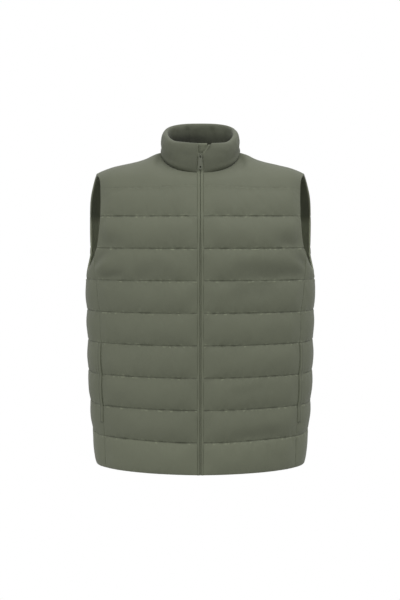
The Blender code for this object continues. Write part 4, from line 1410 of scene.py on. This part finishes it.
def make_teeth(side):
    """The turns of the zip's coil on one tape. The other tape's turns lie between them."""
    pitch = bpy.context.scene.vest_zip.tooth_pitch
    z, coil_x, _, front, _ = tape_lines(side)
    if side == "left":
        first, last = z[0] + FIRST_TOOTH, z[-1] - LAST_TOOTH
    else:
        first, last = z[0] + (FIRST_TOOTH + pitch / 2), SLIDER_Z + OPENS_ABOVE
    places = []
    for height in np.arange(first, last, pitch):
        x = (np.interp(height, z, coil_x) + TOOTH_FROM_EDGE) * SIGNS[side]
        floor = np.interp(height, z, front) + lower_down(FLOOR_DROP_TOP, FLOOR_DROP_LOW, height)
        place = np.array([x, floor - TOOTH_SIZE[2] / 2, height])
        places.append((place, np.array([1.0, 0.0, 0.0]), np.array([0.0, -1.0, 0.0])))
    piece = copies("zip_teeth_" + side, places, TOOTH_SIZE, teeth_material())
    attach(piece, "vest")


class VEST_OT_add_wind_guard(bpy.types.Operator):
    """Lays the strip of cloth behind the zip, up to the rim of the collar"""

    bl_idname = "vest.add_wind_guard"
    bl_label = "Wind guard"

    def execute(self, context):
        outer, inner, across, up = read_strip("wind_guard", (1.0, 1.0, 10.0), GUARD_COLUMNS, STRIP_STEP)
        from_top = (up[-1] - up)[:, None]
        lift = (GUARD_TOP_Z - outer[-1, 0, 2]) * ramp(from_top, *GUARD_LIFT_RAMP)
        outer[:, :, 2] += lift
        inner[:, :, 2] += lift
        beside = edge_drop(nearest_end(across), GUARD_EDGE)[None, :]
        drop = np.maximum(beside, edge_drop(from_top, GUARD_EDGE))
        height, place, width = GUARD_ROLL
        roll = height * bell(from_top - place, width) + GUARD_SWELL * ramp(from_top, *GUARD_SWELL_RAMP)
        crease = wave(outer, GUARD_CREASES)
        outer[:, :, 1] += drop - roll + crease
        inner[:, :, 1] += crease - drop
        # Painted light near the guard's top
        shade = GUARD_PAINTED_LIGHT * ramp(from_top, *GUARD_LIGHT_RAMP)
        piece = close_wall("wind_guard_cloth", outer, inner, shell_material(), shade=shade)
        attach(piece, "vest")
        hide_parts("wind_guard")
        return {"FINISHED"}


class VEST_OT_add_zip(bpy.types.Operator):
    """Lays the two zip tapes and the coil between them"""

    bl_idname = "vest.add_zip"
    bl_label = "Zip tapes and coil"

    def execute(self, context):
        for side in SIGNS:
            make_tape(side)
            make_teeth(side)
        return {"FINISHED"}


class VEST_OT_add_welts(bpy.types.Operator):
    """Folds the narrow welts of the side pockets"""

    bl_idname = "vest.add_welts"
    bl_label = "Pocket welts"

    def execute(self, context):
        for number, (side, sign) in enumerate(SIGNS.items()):
            node_name = "pocket_welt_" + side
            outer, inner, across, up = read_strip(node_name, (-sign, 1.0, 10.0), WELT_COLUMNS, WELT_STEP)
            beside = edge_drop(nearest_end(across), WELT_EDGE)[None, :]
            drop = np.maximum(beside, edge_drop(nearest_end(up), WELT_EDGE)[:, None])
            crown = WELT_CROWN * np.sin(math.pi * (across / across[-1])) ** WELT_ROUNDNESS
            from_line = np.abs(across - WELT_STITCH_LINE)
            stitched = -WELT_STITCH_DEPTH * bell(from_line, WELT_STITCH_WIDTH)
            height = crown + stitched + wave(outer, WELT_CREASES, number) - drop
            outer = outer + unit(outer - inner) * height[..., None]
            # Painted shade along the welt's stitched line
            piece = close_wall(node_name + "_folded", outer, inner, shell_material(),
                               seam_distance=from_line)
            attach(piece, "vest")
            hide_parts(node_name)
        return {"FINISHED"}


def add_box(name, size, centre):
    bpy.ops.object.select_all(action="DESELECT")
    bpy.ops.mesh.primitive_cube_add(size=1.0, location=centre)
    box = bpy.context.active_object
    box.name = name
    box.scale = size
    bpy.ops.object.transform_apply(location=True, rotation=True, scale=True)
    return box


def apply_modifier(obj, kind, **values):
    modifier = obj.modifiers.new(kind.lower(), kind)
    for key, value in values.items():
        setattr(modifier, key, value)
    pick(obj)
    bpy.ops.object.modifier_apply(modifier=modifier.name)


def merge_shapes(obj, other, operation):
    """Joins or cuts a shape with another, which is used up."""
    apply_modifier(obj, "BOOLEAN", object=other, operation=operation, solver="EXACT")
    bpy.data.objects.remove(other, do_unlink=True)


def round_corners(obj, radius, segments, above=-math.inf, below=math.inf):
    """Rounds the corners that show from the front, between two heights."""
    pick(obj)
    bpy.ops.object.mode_set(mode="EDIT")
    bpy.ops.mesh.select_mode(type="EDGE")
    bpy.ops.mesh.select_all(action="DESELECT")
    mesh = bmesh.from_edit_mesh(obj.data)
    for edge in mesh.edges:
        start, end = (vert.co for vert in edge.verts)
        deep = abs((end - start).normalized().y) > FRONT_TO_BACK
        edge.select = deep and above < ((start + end) / 2).z < below
    bmesh.update_edit_mesh(obj.data)
    bpy.ops.mesh.bevel(offset=radius, segments=segments, affect="EDGES")
    bpy.ops.object.mode_set(mode="OBJECT")


def finish_metal(obj, name, body):
    apply_modifier(obj, "BEVEL", width=METAL_EDGE, segments=2, limit_method="ANGLE",
                   angle_limit=SHARP_ANGLE)
    pick(obj)
    bpy.ops.object.shade_smooth_by_angle(angle=SHARP_ANGLE)
    apply_modifier(obj, "WEIGHTED_NORMAL", keep_sharp=True)
    obj.name = name
    obj.data.name = name
    obj.data.materials.clear()
    obj.data.materials.append(metal_material())
    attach(obj, body)


def make_bail(front, middle):
    """The bent wire on the slider's front, cut off inside the front plate."""
    bpy.ops.object.select_all(action="DESELECT")
    bpy.ops.mesh.primitive_torus_add(
        location=(0.0, front, middle),
        rotation=(0.0, math.pi / 2, 0.0),
        major_segments=40,
        minor_segments=12,
        major_radius=BAIL_HALF_LENGTH,
        minor_radius=BAIL_WIRE,
    )
    bail = bpy.context.active_object
    bpy.ops.object.transform_apply(location=True, rotation=True, scale=False)
    for vert in bail.data.vertices:
        vert.co.y = front + (vert.co.y - front) * (BAIL_RISE / BAIL_HALF_LENGTH)
    edit_whole(bail, bpy.ops.mesh.bisect, plane_co=(0.0, front + PLATE / 2, 0.0), plane_no=(0.0, 1.0, 0.0),
               use_fill=True, clear_outer=True)
    return bail


class VEST_OT_add_slider(bpy.types.Operator):
    """Makes the zip's slider: two shaped plates, the post between them and the wire bail"""

    bl_idname = "vest.add_slider"
    bl_label = "Slider"

    def execute(self, context):
        low, high = (Vector(corner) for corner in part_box("zip_slider"))
        front = low.y + BAIL_RISE + BAIL_WIRE
        middle = (low.z + high.z) / 2
        shapes = []
        for name, y in (("slider_front", front + PLATE / 2), ("slider_rear", high.y - PLATE / 2)):
            plate = add_box(name, (high.x - low.x, PLATE, high.z - low.z), (0.0, y, middle))
            round_corners(plate, PLATE_LOW_CORNER, segments=5, below=low.z + END_MARGIN)
            round_corners(plate, PLATE_HIGH_CORNER, segments=6, above=high.z - END_MARGIN)
            shapes.append(plate)
        post_z = high.z - POST_FROM_TOP - POST_HEIGHT / 2
        shapes.append(add_box("slider_post", (POST_WIDTH, high.y - front - PLATE, POST_HEIGHT),
                              (0.0, (high.y + front) / 2, post_z)))
        shapes.append(make_bail(front, middle))
        slider = shapes[0]
        for other in shapes[1:]:
            merge_shapes(slider, other, "UNION")
        finish_metal(slider, "zip_slider_painted", "vest")
        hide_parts("zip_slider")
        return {"FINISHED"}


class VEST_OT_add_pull_tab(bpy.types.Operator):
    """Makes the flat pull tab with its window for the bail and the hole near its end"""

    bl_idname = "vest.add_pull_tab"
    bl_label = "Pull tab"

    def execute(self, context):
        low, high = (Vector(corner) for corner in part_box("zip_pull_tab"))
        size = high - low
        centre = (low + high) / 2
        hinge_z = high.z - TAB_CROSSBAR
        tab = add_box("zip_pull_tab_painted", size, centre)
        for z in TAB_WIDENS:
            edit_whole(tab, bpy.ops.mesh.bisect, plane_co=(0.0, 0.0, hinge_z + z), plane_no=(0.0, 0.0, 1.0))
        for vert in tab.data.vertices:
            if vert.co.z > hinge_z + TAB_WIDENS[0] - END_MARGIN:
                vert.co.x *= TAB_TOP_SHARE
        round_corners(tab, TAB_LOW_CORNER, segments=4, below=low.z + END_MARGIN)
        round_corners(tab, TAB_HIGH_CORNER, segments=3, above=high.z - END_MARGIN)
        window_low = -(BAIL_HALF_LENGTH + BAIL_WIRE + TAB_WINDOW_ROOM)
        window = add_box(
            "tab_window",
            (size.x * TAB_TOP_SHARE - 2 * TAB_RAIL, size.y * 3, -TAB_CROSSBAR - window_low),
            (0.0, centre.y, hinge_z + (window_low - TAB_CROSSBAR) / 2),
        )
        round_corners(window, TAB_WINDOW_CORNER, segments=3)
        bpy.ops.object.select_all(action="DESELECT")
        bpy.ops.mesh.primitive_cylinder_add(
            vertices=24,
            radius=TAB_HOLE_RADIUS,
            depth=size.y * 3,
            location=(0.0, centre.y, low.z + TAB_HOLE_FROM_END),
            rotation=(math.pi / 2, 0.0, 0.0),
        )
        hole = context.active_object
        for cutter in (window, hole):
            merge_shapes(tab, cutter, "DIFFERENCE")
        finish_metal(tab, "zip_pull_tab_painted", "pull_tab")
        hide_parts("zip_pull_tab")
        return {"FINISHED"}


def seen_or_lit(tree, lit, seen, output):
    """The camera sees one shader, and all the light comes from the other."""
    path = add_node(tree, "ShaderNodeLightPath")
    either = add_node(tree, "ShaderNodeMixShader")
    sources = (path.outputs["Is Camera Ray"], lit.outputs[0], seen.outputs[0])
    for source, socket in zip(sources, either.inputs):
        tree.links.new(source, socket)
    tree.links.new(either.outputs[0], tree.nodes[output].inputs["Surface"])


def floor_material():
    """A pale floor that is lit to plain white, as in a product picture, and gives back a soft light."""
    material, tree, shader = new_material("pale floor")
    tone = soft_tone(tree, scale=3.0, amount=0.02)
    tree.links.new(scaled_colour(tree, (FLOOR_BOUNCE,) * 3, tone), shader.inputs["Base Color"])
    shader.inputs["Roughness"].default_value = 0.9
    white = add_node(tree, "ShaderNodeEmission")
    white.inputs["Strength"].default_value = 1.0
    seen_or_lit(tree, shader, white, "Material Output")
    return material


def add_floor(size):
    bpy.ops.object.select_all(action="DESELECT")
    bpy.ops.mesh.primitive_plane_add(size=size, location=(0.0, 0.0, FLOOR_Z))
    floor = bpy.context.active_object
    floor.name = "floor"
    bpy.ops.object.transform_apply(location=True, rotation=False, scale=False)
    floor.data.materials.append(floor_material())


def share_along(tree, source, low, high):
    """A socket that goes from low to high as the source goes from -1 to 1."""
    share = add_node(tree, "ShaderNodeMapRange")
    for label, value in (("From Min", -1.0), ("To Min", low), ("To Max", high)):
        share.inputs[label].default_value = value
    tree.links.new(source, share.inputs["Value"])
    return share.outputs[0]


def add_sky(scene):
    """A soft light from all round: its tones by height, and its strength by the way it comes from."""
    world = bpy.data.worlds.new("studio")
    scene.world = world
    world.use_nodes = True
    tree = world.node_tree
    soft = tree.nodes["Background"]
    split = add_node(tree, "ShaderNodeSeparateXYZ")
    tree.links.new(add_node(tree, "ShaderNodeTexCoord").outputs["Generated"], split.inputs[0])
    tones = add_node(tree, "ShaderNodeValToRGB")
    tree.links.new(share_along(tree, split.outputs["Z"], 0.0, 1.0), tones.inputs[0])
    stops = tones.color_ramp.elements
    for (place, tone), stop in zip(SKY_TONES, [stops[0], stops[1], stops.new(0.5), stops.new(0.6)]):
        stop.position = place
        stop.color = (tone, tone, tone, 1.0)
    tree.links.new(tones.outputs[0], soft.inputs["Color"])
    across = share_along(tree, split.outputs["X"], *SKY_ACROSS)
    deep = share_along(tree, split.outputs["Y"], *SKY_DEPTH)
    strength = math_node(tree, "MULTIPLY", math_node(tree, "MULTIPLY", across, deep), SKY_STRENGTH)
    tree.links.new(strength, soft.inputs["Strength"])
    white = add_node(tree, "ShaderNodeBackground")
    white.inputs["Color"].default_value = (1.0, 1.0, 1.0, 1.0)
    white.inputs["Strength"].default_value = 1.0
    seen_or_lit(tree, soft, white, "World Output")


def add_lamp(scene, lamp):
    light = bpy.data.lights.new(lamp.name, "AREA")
    light.shape = "RECTANGLE"
    light.size = lamp.size
    light.size_y = lamp.size
    light.energy = lamp.power
    obj = bpy.data.objects.new(lamp.name, light)
    obj.location = lamp.place
    obj.rotation_euler = (Vector(lamp.target) - Vector(lamp.place)).to_track_quat("-Z", "Y").to_euler()
    scene.collection.objects.link(obj)


def add_camera(scene):
    view = bpy.data.cameras.new("camera")
    view.lens = CAMERA_LENS
    view.sensor_width = CAMERA_SENSOR
    view.clip_end = CAMERA_REACH
    camera = bpy.data.objects.new("camera", view)
    camera.location = CAMERA_PLACE
    camera.rotation_euler = (math.pi / 2 - CAMERA_TILT, 0.0, 0.0)
    scene.collection.objects.link(camera)
    scene.camera = camera


class VEST_OT_add_stage(bpy.types.Operator):
    """Adds the pale floor, the soft lights and the camera of the photograph"""

    bl_idname = "vest.add_stage"
    bl_label = "Studio"

    def execute(self, context):
        scene = context.scene
        scene.view_settings.view_transform = "Standard"
        add_floor(scene.vest_stage.floor_size)
        add_sky(scene)
        for lamp in LAMPS:
            add_lamp(scene, lamp)
        add_camera(scene)
        return {"FINISHED"}


class VEST_PT_pieces(bpy.types.Panel):
    """Lists the vest's pieces in the sidebar"""

    bl_idname = "VEST_PT_pieces"
    bl_label = "Puffer vest"
    bl_space_type = "VIEW_3D"
    bl_region_type = "UI"
    bl_category = "Vest"

    def draw(self, context):
        for operator in STEPS:
            self.layout.operator(operator.bl_idname)


STEPS = (
    VEST_OT_add_stage,
    VEST_OT_add_quilted_panels,
    VEST_OT_add_collar,
    VEST_OT_add_wind_guard,
    VEST_OT_add_zip,
    VEST_OT_add_welts,
    VEST_OT_add_slider,
    VEST_OT_add_pull_tab,
    VEST_OT_add_stitching,
)
GROUPS = {
    "vest_cloth": VestClothSettings,
    "vest_zip": VestZipSettings,
    "vest_stitches": VestStitchSettings,
    "vest_stage": VestStageSettings,
}


def register():
    for group in GROUPS.values():
        bpy.utils.register_class(group)
    for name, group in GROUPS.items():
        setattr(bpy.types.Scene, name, PointerProperty(type=group))
    for step in STEPS:
        bpy.utils.register_class(step)
    bpy.utils.register_class(VEST_PT_pieces)


def unregister():
    bpy.utils.unregister_class(VEST_PT_pieces)
    for step in reversed(STEPS):
        bpy.utils.unregister_class(step)
    for name, group in GROUPS.items():
        delattr(bpy.types.Scene, name)
        bpy.utils.unregister_class(group)


def main():
    register()
    bpy.ops.vest.add_stage()
    bpy.ops.vest.add_quilted_panels()
    bpy.ops.vest.add_collar()
    bpy.ops.vest.add_wind_guard()
    bpy.ops.vest.add_zip()
    bpy.ops.vest.add_welts()
    bpy.ops.vest.add_slider()
    bpy.ops.vest.add_pull_tab()
    bpy.ops.vest.add_stitching()


if __name__ == "__main__":
    main()
